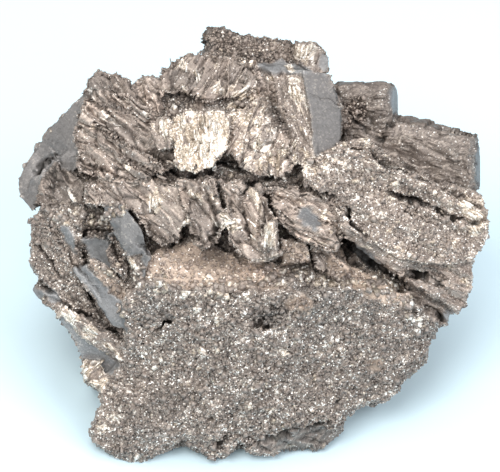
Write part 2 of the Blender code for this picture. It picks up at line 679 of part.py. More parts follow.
def add_floor_cut(collection):
    """Adds the box under the table's plane, which breaks the base off flat."""
    bm = bmesh.new()
    bmesh.ops.create_cube(bm, size=1)
    bmesh.ops.scale(bm, vec=(200, 200, FLOOR_CUT_DEPTH), verts=bm.verts)
    bmesh.ops.translate(bm, vec=(0, 0, -FLOOR_CUT_DEPTH / 2), verts=bm.verts)
    add_object("floor cut", mesh_from(bm, "floor cut"), collection)


def join_with(rock, collection, operation):
    """Joins or cuts rock with every object in collection, and keeps the result as its mesh."""
    modifier = rock.modifiers.new(operation.lower(), "BOOLEAN")
    modifier.operation = operation
    modifier.operand_type = "COLLECTION"
    modifier.collection = collection
    modifier.solver = "EXACT"
    modifier.use_self = operation == "UNION"
    rock.data = evaluated_mesh(rock)
    rock.modifiers.clear()


def drop_crumbs(rock):
    """Removes what the joins leave loose or sealed inside, and keeps the one great body."""
    bm = bmesh.new()
    bm.from_mesh(rock.data)
    waiting = set(bm.faces)
    bodies = []
    while waiting:
        start = waiting.pop()
        body, growing = {start}, [start]
        while growing:
            for edge in growing.pop().edges:
                if len(edge.link_faces) != 2:
                    continue
                for face in edge.link_faces:
                    if face in waiting:
                        waiting.remove(face)
                        body.add(face)
                        growing.append(face)
        bodies.append(body)
    great = max(bodies, key=len)
    crumbs = [face for body in bodies if body is not great for face in body]
    bmesh.ops.delete(bm, geom=crumbs, context="FACES")
    bm.to_mesh(rock.data)
    bm.free()


def tool_collection(name):
    """A collection for shapes that only join or cut, left out of the model."""
    made = bpy.data.collections.new(name)
    bpy.context.scene.collection.children.link(made)
    return made


def put_away(collection):
    """Hides a collection's tools, which are drawn as wires and never rendered."""
    for tool in collection.objects:
        tool.hide_render = True
        tool.display_type = "WIRE"


def manganite_material():
    """Dark steel-grey manganite with a submetallic lustre."""
    material = bpy.data.materials.new("manganite")
    material.use_nodes = True
    shader = material.node_tree.nodes["Principled BSDF"]
    shader.inputs["Base Color"].default_value = (0.30, 0.27, 0.24, 1)
    shader.inputs["Metallic"].default_value = 0.85
    shader.inputs["Roughness"].default_value = 0.42
    return material


def main():
    """Builds the specimen."""
    clear_scene()
    specimen = bpy.data.collections.new("manganite specimen")
    bpy.context.scene.collection.children.link(specimen)
    crystals = tool_collection("crystals to join")
    cutters = tool_collection("cutters")
    rock = massive_rock(specimen)
    rock.name = "manganite_specimen"
    for name, slab in SLABS.items():
        add_slab(crystals, name, slab)
    for name, prism in PRISMS.items():
        add_prism(crystals, name, prism)
    for number, furrow in enumerate(FURROWS, 1):
        add_furrow(cutters, f"furrow {number}", furrow)
    for name, (middle, size, turn) in NOTCHES.items():
        add_notch(cutters, name, middle, size, turn)
    for name, (middle, radius) in ARCHES.items():
        add_arch(cutters, name, middle, radius)
    add_floor_cut(cutters)
    join_with(rock, crystals, "UNION")
    join_with(rock, cutters, "DIFFERENCE")
    drop_crumbs(rock)
    put_away(crystals)
    put_away(cutters)
    rock.data.transform(Matrix.Translation(Vector(CENTRING) * MM))
    rock.data.materials.clear()
    rock.data.materials.append(manganite_material())


main()
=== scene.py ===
"""A cabinet specimen of manganite, dressed for its portrait.

The solid specimen is cut into a few overlapping chunks. Each chunk is meshed finely and given the
relief of the crystals that it is made of: sugary grains, blades laid side by side, smooth satin
plates and dusty ledges. Loose grains, blades and bright cleavage flakes then stand on the skin.
Sizes in this file are in millimetres unless a name says otherwise.
"""

import logging
import math
from collections.abc import Callable
from dataclasses import dataclass, field, fields
from enum import IntEnum
from functools import partial

import bpy
import numpy as np
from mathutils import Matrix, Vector


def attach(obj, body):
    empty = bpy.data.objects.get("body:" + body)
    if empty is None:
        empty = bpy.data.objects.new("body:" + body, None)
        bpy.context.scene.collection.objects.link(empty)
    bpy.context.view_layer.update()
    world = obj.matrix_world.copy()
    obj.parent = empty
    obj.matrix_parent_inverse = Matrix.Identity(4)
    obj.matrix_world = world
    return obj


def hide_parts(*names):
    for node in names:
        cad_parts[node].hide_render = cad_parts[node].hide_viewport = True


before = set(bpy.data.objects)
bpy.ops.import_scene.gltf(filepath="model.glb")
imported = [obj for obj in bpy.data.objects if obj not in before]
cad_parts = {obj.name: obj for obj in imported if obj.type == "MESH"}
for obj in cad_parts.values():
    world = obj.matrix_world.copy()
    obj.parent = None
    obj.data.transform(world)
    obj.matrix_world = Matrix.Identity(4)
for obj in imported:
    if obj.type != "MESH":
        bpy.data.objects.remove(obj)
log = logging.getLogger("manganite")

MM = 0.001
NODE = "manganite_specimen"
BODY = "root"

# Shorter names for types. An Adder adds a node to one material and gives its outputs.
Array = np.ndarray
Corners = tuple[tuple[float, float], ...]
Triple = tuple[float, float, float]
Socket = bpy.types.NodeSocket
Adder = Callable[..., bpy.types.bpy_prop_collection]


class Habit(IntEnum):
    """How the mineral has grown or broken in one place."""

    SUGARY = 0
    BLADED = 1
    SATIN = 2
    CLEAVED = 3
    DUSTY = 4
    CRUST = 5


SUGARY, BLADED, SATIN, CLEAVED, DUSTY, CRUST = Habit


def linear(code: str) -> tuple[float, float, float, float]:
    """Turns an sRGB hex colour into linear light.

    Args:
        code: Six hexadecimal digits.

    Returns:
        Red, green, blue and full alpha.
    """
    channels = [int(code[at : at + 2], 16) / 255 for at in (0, 2, 4)]
    lit = [c / 12.92 if c <= 0.04045 else ((c + 0.055) / 1.055) ** 2.4 for c in channels]
    return (lit[0], lit[1], lit[2], 1.0)


def chance(cells: Array, seed: int) -> Array:
    """Three even random numbers for each whole-numbered cell.

    Args:
        cells: Cell numbers, one row of three each.
        seed: Which set of random numbers to use.

    Returns:
        One row of three numbers from 0 to 1 for each cell.
    """
    whole = cells.astype(np.int64).astype(np.uint32)
    mixed = whole[:, 0] * np.uint32(0x8DA6B343) + whole[:, 1] * np.uint32(0xD8163841)
    mixed += whole[:, 2] * np.uint32(0xCB1AB31F) + np.uint32((seed * 0x9E3779B9) & 0xFFFFFFFF)
    numbers = []
    for turn in range(3):
        mixed = mixed ^ (mixed >> np.uint32(15))
        mixed = mixed * np.uint32(0x2C1B3C6D) + np.uint32(turn * 7919 + 1)
        mixed = mixed ^ (mixed >> np.uint32(12))
        mixed = mixed * np.uint32(0x297A2D39)
        mixed = mixed ^ (mixed >> np.uint32(15))
        numbers.append(mixed.astype(np.float64) / 4294967295.0)
    return np.stack(numbers, axis=1)


def swell(points: Array, seed: int) -> Array:
    """Smooth random heights with a wavelength of about two units.

    Args:
        points: Places, one row of three each.
        seed: Which set of random numbers to use.

    Returns:
        A height from -1 to 1 for each place.
    """
    base = np.floor(points)
    part = points - base
    part = part * part * (3 - 2 * part)
    total = np.zeros(len(points))
    for corner in np.ndindex(2, 2, 2):
        step = np.array(corner)
        weight = np.prod(np.where(step == 1, part, 1 - part), axis=1)
        total += weight * chance(base + step, seed)[:, 0]
    return total * 2 - 1


@dataclass
class Cells:
    """The crystal cell of each place.

    near and second are the distances to its centre and to the next cell's centre, luck is three
    random numbers of the cell, and offset is the place measured from its centre.
    """

    near: Array
    second: Array
    luck: Array
    offset: Array

    def rise(self, column: int) -> Array:
        """One of each cell's random numbers, as a height from -0.5 to 0.5."""
        return self.luck[:, column] - 0.5


def crystal_cells(points: Array, seed: int) -> Cells:
    """Divides space into random crystal cells, one unit across on average.

    Args:
        points: Places, one row of three each.
        seed: Which set of random numbers to use.

    Returns:
        The cell of each place.
    """
    base = np.floor(points)
    near = np.full(len(points), 9.0)
    second = np.full(len(points), 9.0)
    luck = np.zeros((len(points), 3))
    offset = np.zeros((len(points), 3))
    for corner in np.ndindex(3, 3, 3):
        cell = base + (np.array(corner) - 1)
        away = points - cell - chance(cell, seed)
        distance = np.sqrt((away * away).sum(axis=1))
        closer = distance < near
        second = np.where(closer, near, np.minimum(second, distance))
        near = np.where(closer, distance, near)
        offset[closer] = away[closer]
        luck[closer] = chance(cell[closer], seed + 101)
    return Cells(near, second, luck, offset)


@dataclass(frozen=True)
class ShowFace:
    """The frame of the show face, in which things are placed across, up and out."""

    tilt_deg: float = 40.0
    middle: Triple = (-0.05, -2.7, 26.1)
    reading_distance: float = 463.0

    def axes(self) -> Array:
        """Unit directions across, up and out, one row each."""
        sine, cosine = math.sin(math.radians(self.tilt_deg)), math.cos(math.radians(self.tilt_deg))
        return np.array(((1.0, 0.0, 0.0), (0.0, sine, cosine), (0.0, -cosine, sine)))

    def read(self, points: Array) -> Array:
        """Reads places in the show face's frame.

        Args:
            points: Places in the specimen's frame, one row each.

        Returns:
            Across, up and out for each place.
        """
        local = (points - np.array(self.middle)) @ self.axes().T
        local[:, :2] /= 1 - local[:, 2:3] / self.reading_distance
        return local

    def place(self, across: float, up: float, out: float) -> Array:
        """The place in the specimen's frame of a point of the show face."""
        nearer = 1 - out / self.reading_distance
        return np.array(self.middle) + np.array((across * nearer, up * nearer, out)) @ self.axes()


@dataclass(frozen=True)
class Region:
    """One crystal or ledge of the show face, and how it has grown.

    outline and out, with its lean across and up, are those of its front face. The blades run at
    grain_deg. bright is the share of fresh cleavage on it, painted pale cream as a painted highlight.
    tone makes it lighter or darker, warmth runs from blue grey, on smooth faces partly a painted
    reflection of the pale floor, to tan, and blend is how much of another habit shows.
    """

    outline: Corners
    out: float
    lean: tuple[float, float]
    habit: Habit
    grain_deg: float = 0.0
    bright: float = 0.1
    relief: float = 1.0
    tone: float = 1.0
    warmth: float = 0.75
    blend: float = 1.0

    def holds(self, across: Array, up: Array) -> Array:
        """Tells which places lie inside the outline.

        Args:
            across: The places' distance across.
            up: The places' distance up.

        Returns:
            True for each place inside.
        """
        inside = np.zeros(len(across), bool)
        for (a0, u0), (a1, u1) in zip(self.outline, self.outline[1:] + self.outline[:1]):
            if u0 != u1:
                spans = (u0 > up) != (u1 > up)
                inside ^= spans & (across < (a1 - a0) * (up - u0) / (u1 - u0) + a0)
        return inside

    def gap(self, across: Array, up: Array, out: Array) -> Array:
        """How far each place stands in front of the region's face."""
        middle = [sum(column) / len(self.outline) for column in zip(*self.outline)]
        return out - (self.out + self.lean[0] * (across - middle[0]) + self.lean[1] * (up - middle[1]))


REGIONS = {
    "left bundle": Region(((-29.9, 20.5), (-27.4, 24.2), (-23.9, 25.2), (-17, 22.3), (-13.3, 16.4),
        (-12.6, 11.6), (-17, 9.6), (-23.9, 9.7), (-29.3, 10.4), (-30.2, 16.4)), 7.2, (0.22, -0.12), BLADED, -36,
        0.12, 1.1, tone=1.04),
    "left head": Region(((-28.7, 24.4), (-27.8, 27), (-26.1, 28.4), (-22.9, 27.9), (-20, 26.1), (-18.8, 24.1),
        (-20.8, 21.2), (-25.6, 21.9)), 5.4, (0.1, -0.35), BLADED, -58, 0.05, 0.65, tone=0.74),
    "second head": Region(((-20, 25.9), (-18.3, 27.4), (-15.9, 27.2), (-14.3, 24.6), (-15.4, 20.8),
        (-17.9, 19.6), (-20.1, 22.3)), 5.2, (0.1, -0.3), BLADED, -55, 0.1, 0.65, tone=1.14),
    "speckled head": Region(((-15.4, 24.9), (-15, 28.6), (-11.8, 30.6), (-8.5, 31), (-3.4, 30.4), (0.9, 29.2),
        (2, 25.8), (-1.7, 23.6), (-7.7, 22.9), (-11.1, 24.3)), 4.4, (0, -0.42), BLADED, 62, 0.15, tone=0.86),
    "bright fan": Region(((-13.5, 20.3), (-10.9, 21.4), (-4.4, 21.2), (-3.1, 18.9), (-4.1, 14.7), (-5.8, 11.9),
        (-9.5, 10.1), (-12.3, 11.2), (-13.3, 15.5)), 11.8, (0.05, -0.26), CLEAVED, 98, 0.62),
    "fan, left lobe": Region(((-17.4, 19.4), (-15.4, 20.3), (-13.4, 19.6), (-13.1, 14.9), (-15.4, 14.1),
        (-17.1, 16)), 10.2, (0.1, -0.25), CLEAVED, 104, 0.32, tone=0.84),
    "speckled middle": Region(((-4.6, 20.6), (2, 23.6), (6, 22), (7.8, 17.2), (8.5, 13), (6.2, 9.9), (2, 10),
        (-1.7, 11.4), (-4.3, 14.7)), 10.2, (0.05, -0.3), BLADED, 60, 0.27, 1.2, tone=1.1, blend=3.5),
    "upper slope": Region(((-3.1, 29.9), (2, 29.4), (9, 28.4), (9.8, 23.2), (6.1, 21.9), (2, 23.6),
        (-1.7, 23.2)), 4.2, (0.12, -0.5), BLADED, -62, 0.25, tone=1.28),
    "grey face": Region(((8.8, 28.3), (13.4, 27.7), (15.3, 22.7), (15.5, 16.7), (12.8, 12.1), (10.9, 13.9),
        (10.1, 21.5)), 8.8, (-0.32, -0.18), SATIN, -75, 0.02, tone=0.56, warmth=0.9, blend=2.5),
    "speckled ridge": Region(((3.6, 26.3), (8.7, 27.6), (10.4, 22.3), (11.5, 13.6), (8.5, 12.3), (6.6, 18.1)),
        8.6, (0.22, -0.3), CLEAVED, -66, 0.24, tone=0.88),
    "right slab, upper": Region(((11, 13.6), (15.5, 16), (19.8, 16.3), (26.3, 11.9), (32.4, 9.2), (39.6, 7.2),
        (40.8, 4.3), (40.4, 1), (31.5, 3), (23.5, 7.4), (13, 8.5)), 8, (-0.16, -0.02), SUGARY, -24, 0.25, 0.5,
        tone=0.95),
    "right slab, lower": Region(((8.5, 12.4), (12.8, 12.6), (23, 8), (31.5, 3.8), (40.2, 2), (40.8, 0.3),
        (38.4, -4.3), (32.4, -4.9), (28.7, -4.6), (25.6, -3.9), (20.1, -1.2), (16.2, 2), (13.6, 6.1), (9, 8.5)),
        9.2, (-0.17, -0.1), SUGARY, -26, 0.27, 0.5, tone=1.1, warmth=0.6),
    "slab lip": Region(((14.9, 2.7), (17.4, 1.8), (20.8, -0.9), (25.6, -3.5), (28.5, -4.4), (28.1, -6.2),
        (25.6, -7.2), (22.2, -5.8), (18.8, -2.9), (15.9, -0.6)), 8.6, (-0.05, 0.42), CLEAVED, -32, 0.1, 0.8,
        tone=1.08),
    "lower right blades": Region(((26.6, -7.4), (29, -4.6), (38, -3.2), (37.8, -8.4), (37, -11.4),
        (34.8, -13.2), (30.7, -10.6), (28.1, -8.6)), 5, (-0.15, 0.25), CLEAVED, -31, 0.1, 1.2, tone=1.05),
    "lowest right blades": Region(((27, -7.6), (29.9, -9.2), (34.8, -12), (33.8, -15), (31.9, -15.2),
        (29.9, -13.5), (26.5, -10.9)), 3.6, (-0.1, 0.2), CLEAVED, -36, 0.05, 1.2, tone=0.78),
    "row, first": Region(((-12.6, 9.2), (-6, 9.6), (-4.8, 6.1), (-4.1, 1.4), (-5.8, -1.5), (-7.8, -2.4),
        (-9.7, -0.7), (-10.9, 3.6)), 11.6, (0.1, -0.15), BLADED, -62, 0.1, 1, tone=0.97),
    "row, second": Region(((-5.4, 9.6), (2, 8.5), (4.4, 2.7), (4.6, -3.2), (2, -4.4), (-1.7, -3.8),
        (-3.6, -0.7), (-4.1, 5.3)), 12.4, (0.05, -0.14), BLADED, -52, 0.12, 1.1, tone=1.06),
    "row, bright block": Region(((1.8, 2.6), (4.5, 2.9), (4.9, -3.4), (2.7, -4.3), (1.5, -0.7)), 14,
        (0.1, -0.06), CLEAVED, -80, 0.25, tone=0.68),
    "row, third": Region(((2.6, 8.2), (8.5, 8.6), (16.2, 5.3), (17.4, 2.4), (16.2, -1.5), (13.6, -2.7),
        (8.5, -0.7), (5.4, 1.9)), 10.2, (-0.1, -0.12), BLADED, -28, 0.08, 0.9, tone=1.04),
    "row, tan block": Region(((5.4, -0.5), (9.4, -1), (9.9, -4.4), (5.8, -5)), 9.4, (0.1, -0.05), DUSTY, 0,
        0.1),
    "row, dark foot": Region(((10.3, -1.6), (13.6, -2.9), (16.9, -5.6), (15, -7.6), (11, -5.6)), 7.6, (0, 0.2),
        BLADED, -40, 0.1, 0.8, tone=0.85),
    "tan shoulder": Region(((-28.3, 9.2), (-23.9, 9.9), (-17, 9.6), (-12.3, 8.9), (-10.9, 3.6), (-11.9, -0.9),
        (-15.4, -1.9), (-17.7, 0.7), (-19.6, 4.1), (-24.9, 5.3), (-28, 5.1)), 8.2, (0.16, -0.1), BLADED, -42,
        0.12, 0.75, tone=1.08),
    "upper plate": Region(((-24.9, 4.9), (-22, 5.6), (-18.6, 1.4), (-17, -3.8), (-18.1, -7.7), (-20.5, -4.4),
        (-23.5, 0.7)), 9.4, (0.3, -0.1), SATIN, -58, 0, tone=0.6, warmth=0.2, blend=1.5),
    "window face": Region(((-29, 0), (-23.3, 0.6), (-22.4, -5.8), (-27.3, -5.8)), 4.6, (0.1, 0), SATIN, -52, 0,
        tone=0.64, warmth=0.1),
    "window's right side": Region(((-24.2, 0.2), (-22.4, -1), (-20.6, -5.4), (-21.4, -7.6), (-23.2, -5.2),
        (-24, -3.6)), 8, (0.2, 0), CRUST, -70, 0.02),
    "pink strip": Region(((-28.2, -4), (-26.8, -4.2), (-22.6, -8.2), (-21, -10.8), (-22.5, -11.4),
        (-25.6, -7.9)), 7.2, (0.1, 0.1), DUSTY, -48, 0),
    "long plate": Region(((-30.4, -5.5), (-27.6, -4.8), (-21.8, -11.4), (-21, -16.2), (-23.5, -15.7),
        (-26.4, -10.9)), 6.8, (0.26, -0.05), SATIN, -55, 0, tone=0.92, warmth=0.1),
    "left blades": Region(((-37.3, 3.2), (-33.4, 5.9), (-28.1, 5.1), (-28.6, 0), (-28.7, -5), (-30.4, -5.8),
        (-25.8, -13.5), (-24.4, -16.3), (-27.3, -15.2), (-32.6, -13.2), (-35.2, -12), (-37.1, -9.2),
        (-36.3, -7.2), (-37.4, -4.6), (-37.3, -1.2)), 2.6, (0.34, 0), SUGARY, -52, 0.12, 0.5, tone=0.9,
        warmth=0.45, blend=0.8),
    "spindle": Region(((-32.9, -12.9), (-31.1, -11.9), (-25.6, -15.5), (-21.8, -19.2), (-21, -21.9),
        (-24.9, -19.8), (-29, -16.9)), 6, (0.3, 0.12), CLEAVED, -41, 0.3, tone=0.88),
    "spindle's foot": Region(((-32.8, -13.3), (-29, -16.9), (-24.9, -19.8), (-21.6, -22.2), (-24.7, -23.7),
        (-28.5, -20.8)), 3.6, (0.3, 0.4), SATIN, -41, 0, warmth=0.3, blend=2),
    "lower knobs": Region(((-28.9, -20.6), (-25.6, -21.5), (-24.4, -24.2), (-25, -26.9), (-27.8, -25.2)), 3.8,
        (0.2, 0), CLEAVED, 40, 0.5, tone=0.78),
    "far left plate": Region(((-27.6, 24.9), (-28.2, 20.8), (-28.2, 16.4), (-29.6, 11.6), (-33.5, 7.2),
        (-37.2, 4.2), (-39.2, 6.8), (-39.6, 9.2), (-38.6, 11.8), (-36.8, 14.6), (-33.7, 18.6), (-30.6, 22)),
        -1.6, (0.48, -0.22), SATIN, -50, 0, tone=0.8, warmth=0.95, blend=1.5),
    "far left knob": Region(((-36.8, 5), (-35.4, 10.2), (-33.1, 12.4), (-29.9, 10.9), (-28.3, 9), (-28.3, 5.3),
        (-32.4, 5.1)), 1.9, (0.32, -0.28), BLADED, -60, 0.05, tone=0.66, warmth=0.5),
    "crust lump": Region(((7.6, 32.7), (11.2, 32.9), (13.3, 30.6), (13.5, 27.9), (11.6, 27.3), (8, 29.7)), -2,
        (0, -0.25), CLEAVED, 75, 0.25, tone=0.74),
    "upper prism": Region(((13, 27), (25.5, 26.6), (25.5, 16), (20, 15.5), (13, 17)), -1, (0.1, 0), CLEAVED, -2,
        0, 0.8, warmth=0.5, tone=0.7),
    "lower prism": Region(((19, 22), (40, 17.4), (40, 6), (31, 8.5), (19, 15)), 1, (0.1, 0), CLEAVED, -13.5, 0,
        0.9, warmth=0.5, tone=0.78),
    "dusty ledge": Region(((-19, -2.5), (-12, -1.5), (-6, -2), (2, -4.5), (8, -5.2), (9.5, -8), (5, -9.4),
        (-2, -9), (-4, -8.6), (-11, -9.2), (-17.5, -7.6), (-20.5, -8)), 8.5, (0, -0.3), DUSTY, 0, 0.02,
        tone=1.27),
    "crust": Region(((-9.5, 33), (-6.6, 37), (-3, 37.5), (2, 36), (5.5, 34.9), (9, 34), (10, 29), (4, 28),
        (-7.5, 30.2)), -4.5, (0, -0.2), CRUST, 0, 0.05, 1.2, tone=0.88),
}


@dataclass(frozen=True)
class Seam:
    """A furrow along a line of the show face, with its half width, its depth and the painted shade laid in it.
    """

    line: Corners
    width: float
    depth: float = 0.0
    painted_shade: float = 0.0

    def nearness(self, across: Array, up: Array) -> tuple[Array, Array]:
        """How near each place is to the line, and on which side.

        Args:
            across: The places' distance across.
            up: The places' distance up.

        Returns:
            A nearness, 1 on the line and 0 from its half width on, and a step, four times as
            wide, that is above 0 to the left of the line and below 0 to its right.
        """
        nearest = np.full(len(across), 99.0)
        side = np.zeros(len(across))
        for (a0, u0), (a1, u1) in zip(self.line, self.line[1:]):
            along_a, along_u = a1 - a0, u1 - u0
            share = ((across - a0) * along_a + (up - u0) * along_u) / (along_a**2 + along_u**2)
            share = np.clip(share, 0, 1)
            away = np.hypot(across - a0 - share * along_a, up - u0 - share * along_u)
            turn = np.sign(along_a * (up - u0) - along_u * (across - a0))
            side = np.where(away < nearest, turn, side)
            nearest = np.minimum(nearest, away)
        return np.clip(1 - nearest / self.width, 0, 1), side * np.clip(1 - nearest / (4 * self.width), 0, 1)


# Each row is a line, a half width, a depth and a darkness. The darkness is painted shade: the shade of cracks,
# gaps, undercuts and overhangs, laid into the colour.
SEAMS = [
    Seam(*row)
    for row in (
        # The left bundle's furrows.
        (((-27.6, 21.8), (-24.9, 19.4), (-20.5, 15.5)), 0.5, 0.9, 0.6),
        (((-26.1, 18.4), (-22.2, 16.2)), 0.36, 0.5, 0.5),
        (((-29, 13), (-25.9, 11.6), (-22.5, 9.6)), 0.5, 1.1, 0.8),
        (((-24.7, 15.9), (-21.5, 13.3), (-16.9, 10.2)), 0.5, 1, 0.7),
        (((-20.8, 15.9), (-17.9, 14.7), (-15.7, 13.6), (-13.3, 13)), 0.58, 1.5, 1),
        (((-23.9, 23.2), (-20.8, 21.2)), 0.36, 0.5, 0.5),
        # Lines on the two heads.
        (((-23.5, 25.9), (-22.2, 23.9), (-21, 22.5)), 0.36, 0.6, 0.6),
        (((-26.4, 26.6), (-25.2, 24.6), (-24.2, 23)), 0.36, 0.6, 0.6),
        (((-20.3, 25.9), (-18.8, 23.7), (-16.7, 21.3)), 0.43, 0.9, 0.8),
        (((-18.8, 26.6), (-16, 24.7), (-15.2, 23)), 0.36, 0.6, 0.7),
        # The far left plate and knob.
        (((-36.4, 10.9), (-35.4, 12.6), (-34, 13.1)), 0.9, 2, 1.4),
        (((-33.4, 13.8), (-32.4, 11.6), (-30.7, 8.9)), 0.5, 0.9, 0.8),
        # Round the fan and on the slope, with painted shadow under the fan and on the slope.
        (((-14, 10.9), (-11.9, 10.1), (-9.7, 10.1), (-7.2, 10.7), (-5.5, 12.5), (-2, 11.3)), 0.58, 1.3, 1),
        (((-10.7, 20.1), (-10.2, 17.2), (-9.6, 14.7)), 0.29, 0.5, 0.5),
        (((-7.8, 18.1), (-8.5, 15.4), (-8.9, 13)), 0.29, 0.5, 0.4),
        (((-13.5, 20.1), (-13, 17.4), (-13.6, 14.3)), 0.36, 0.8, 0.8),
        (((-15, 23), (-11.9, 22.3), (-9.2, 23.2)), 0.9, 0.5, 0.5),
        (((-4.8, 27.1), (-3.1, 26.4), (-1.2, 26.3)), 0.5, 0.8, 0.9),
        # The trough by the ridge, and the undercut below the middle, with painted shade in both.
        (((2, 25.6), (3.8, 22.5), (5.8, 19.1), (7.2, 16.4)), 1.1, 0.7, 0.4),
        (((-0.9, 9), (1.4, 9), (3.4, 9.9), (4.8, 11.6)), 0.65, 1.4, 1),
        (((5.8, 9.9), (8.2, 10.6), (9.2, 11.9)), 0.43, 0.9, 0.9),
        (((-4.8, 13.3), (-2.9, 12.5), (-1, 10.9)), 0.43, 0.9, 0.9),
        # Gaps along the row.
        (((-7.5, 6.8), (-6.1, 4.1), (-5.5, 1.7), (-6.8, 0)), 0.65, 1.5, 1),
        (((-1, 8.5), (-1.7, 5.5), (-1.2, 2.4), (-0.2, 0)), 0.5, 1.2, 0.9),
        (((2, 6.1), (2.7, 3.8), (2, 1)), 0.43, 1, 0.9),
        (((4.4, 6.8), (6.5, 5.8), (8.9, 5.5)), 0.43, 0.8, 0.6),
        # The right slab's cracks and edges.
        (((8.5, 8.4), (12.3, 7), (16.5, 5.3), (17.6, 1.9), (19.8, -0.3)), 0.65, 1.6, 1),
        (((23.9, 7.2), (29.3, 5.8), (33.6, 3.1), (38, 2.2), (39.9, 2.4)), 0.55, 1.5, 1.1),
        (((26.3, 4.1), (29.7, 2.9), (32.4, 1.2)), 0.29, 0.5, 0.6),
        (((17.4, 15), (20, 14.7), (23.4, 11.8)), 0.36, 0.9, 0.9),
        (((22.7, 12.5), (26.8, 11.1), (31, 9.4), (35.8, 6.7), (39.4, 5.1)), 0.79, 0.9, 0.7),
        # The prisms: the foot of the upper one, and painted shade on its front face.
        (((14.7, 25.2), (15.5, 22.7), (18.1, 19.4), (20.5, 16.9), (22.2, 15.9), (24.6, 19.6)), 0.43, 0.9, 0.9),
        (((16, 22.2), (18.1, 21.5), (19.8, 20.5), (20.5, 18.4)), 1.7, 0.6, 0.32),
        # The slab's lip with painted shadow under it, and the blades under it.
        (((15, 0.7), (17.1, -2), (19.4, -4.1), (22.9, -6.1), (25.6, -7.7)), 0.65, 1.2, 1),
        (((15.7, -1.7), (17.4, -4.4), (20.1, -5.5)), 1.1, 1.2, 0.8),
        (((27, -6.9), (29.7, -7.3), (32.4, -8)), 0.85, 1.6, 1.3),
        (((28.5, -10.9), (31, -12.5), (33, -14.4)), 0.85, 1.6, 1.3),
        (((26.3, -8.5), (27.1, -10.9), (28, -13)), 0.43, 0.9, 0.8),
        # Slit, pit, hollow and edge of the sugar.
        (((-15.7, -15.9), (-14.7, -15), (-13.6, -14.7)), 0.4, 1.6, 1),
        (((1, -15.5), (2.2, -16), (3.1, -15.4)), 0.65, 1.6, 1),
        (((1.4, -13.6), (3.8, -12.6), (6.8, -12.3)), 1.87, 0.7, 0.35),
        (((-7.8, -8.7), (-4.1, -9.7), (-0.7, -9.2), (2, -7.8), (6.1, -6.8)), 0.43, 0.7, 0.7),
        # The window's walls, the plate's step and the spindle.
        (((-24.1, -0.3), (-23.2, -2.7), (-21.8, -5.1)), 0.65, 0.9, 0.8),
        (((-28.3, 0), (-26.3, 1), (-24.2, 0.7)), 0.5, 0.9, 0.8),
        (((-27.6, -5.1), (-24.9, -7.8), (-22.2, -10.9)), 0.29, 0.5, 0.5),
        (((-32.8, -11.4), (-31.4, -11.9), (-27, -14.3), (-25.4, -15.4), (-22.9, -17.1)), 0.65, 1.5, 1),
        # The left blades.
        (((-36.5, -1.7), (-34.1, -4.4), (-32.1, -7.5)), 0.43, 0.8, 0.7),
        (((-34.5, 2), (-32.1, -1.7), (-29, -5.8), (-26.3, -9.6)), 0.36, 0.7, 0.6),
        (((-37.2, -7.5), (-34.8, -9.2), (-32.4, -10.9)), 0.43, 0.9, 0.8),
        # The ledges, with painted shadow under the small one.
        (((-18.9, -1.7), (-17.1, -2.7), (-14, -2.4), (-12.3, -1)), 0.43, 0.9, 0.8),
        (((-10.9, 0), (-8.2, -0.7), (-4.8, -1.7), (-1.7, -3.8), (2, -5.5)), 0.5, 0.7, 0.6),
        # The arch, and the painted shadow by the foot.
        (((-5.3, -36.2), (-4.1, -35), (-2.7, -34.3), (-1, -34.8), (0, -35.3)), 0.65, 1.6, 1),
        (((2, -35.1), (5.1, -34.3), (7.8, -33.6), (10.6, -33.1), (13.6, -32.1)), 0.65, 1.1, 0.9),
    )
]

# Lines along which the larger grains gather.
GRAINY_LINES = (
    Seam(((-21.8, -12.6), (-17.6, -7.5), (-11.3, -9.2), (-1.5, -9), (8.5, -6.7), (25.6, -9.2), (29, -16)), 1.5),
    Seam(((-33, 3.4), (-27, 2.6), (-22.6, 4.6)), 1.5),
    Seam(((-20, -4.6), (-17.4, -8.4), (-14, -8.6)), 1.6),
)


@dataclass(frozen=True)
class Patch:
    """A roundish place of the show face where the skin differs from what lies round it.

    half is half its length and half its width, and turn_deg the direction of its length.
    """

    place: tuple[float, float]
    half: tuple[float, float]
    turn_deg: float
    habit: Habit
    bright: float
    tone: float
    warmth: float

    def reach(self, across: Array, up: Array) -> Array:
        """How far out each place lies: 0 in the middle, 1 on the edge."""
        turn = math.radians(self.turn_deg)
        side, rise = across - self.place[0], up - self.place[1]
        along = side * math.cos(turn) + rise * math.sin(turn)
        over = rise * math.cos(turn) - side * math.sin(turn)
        return np.hypot(along / self.half[0], over / self.half[1])


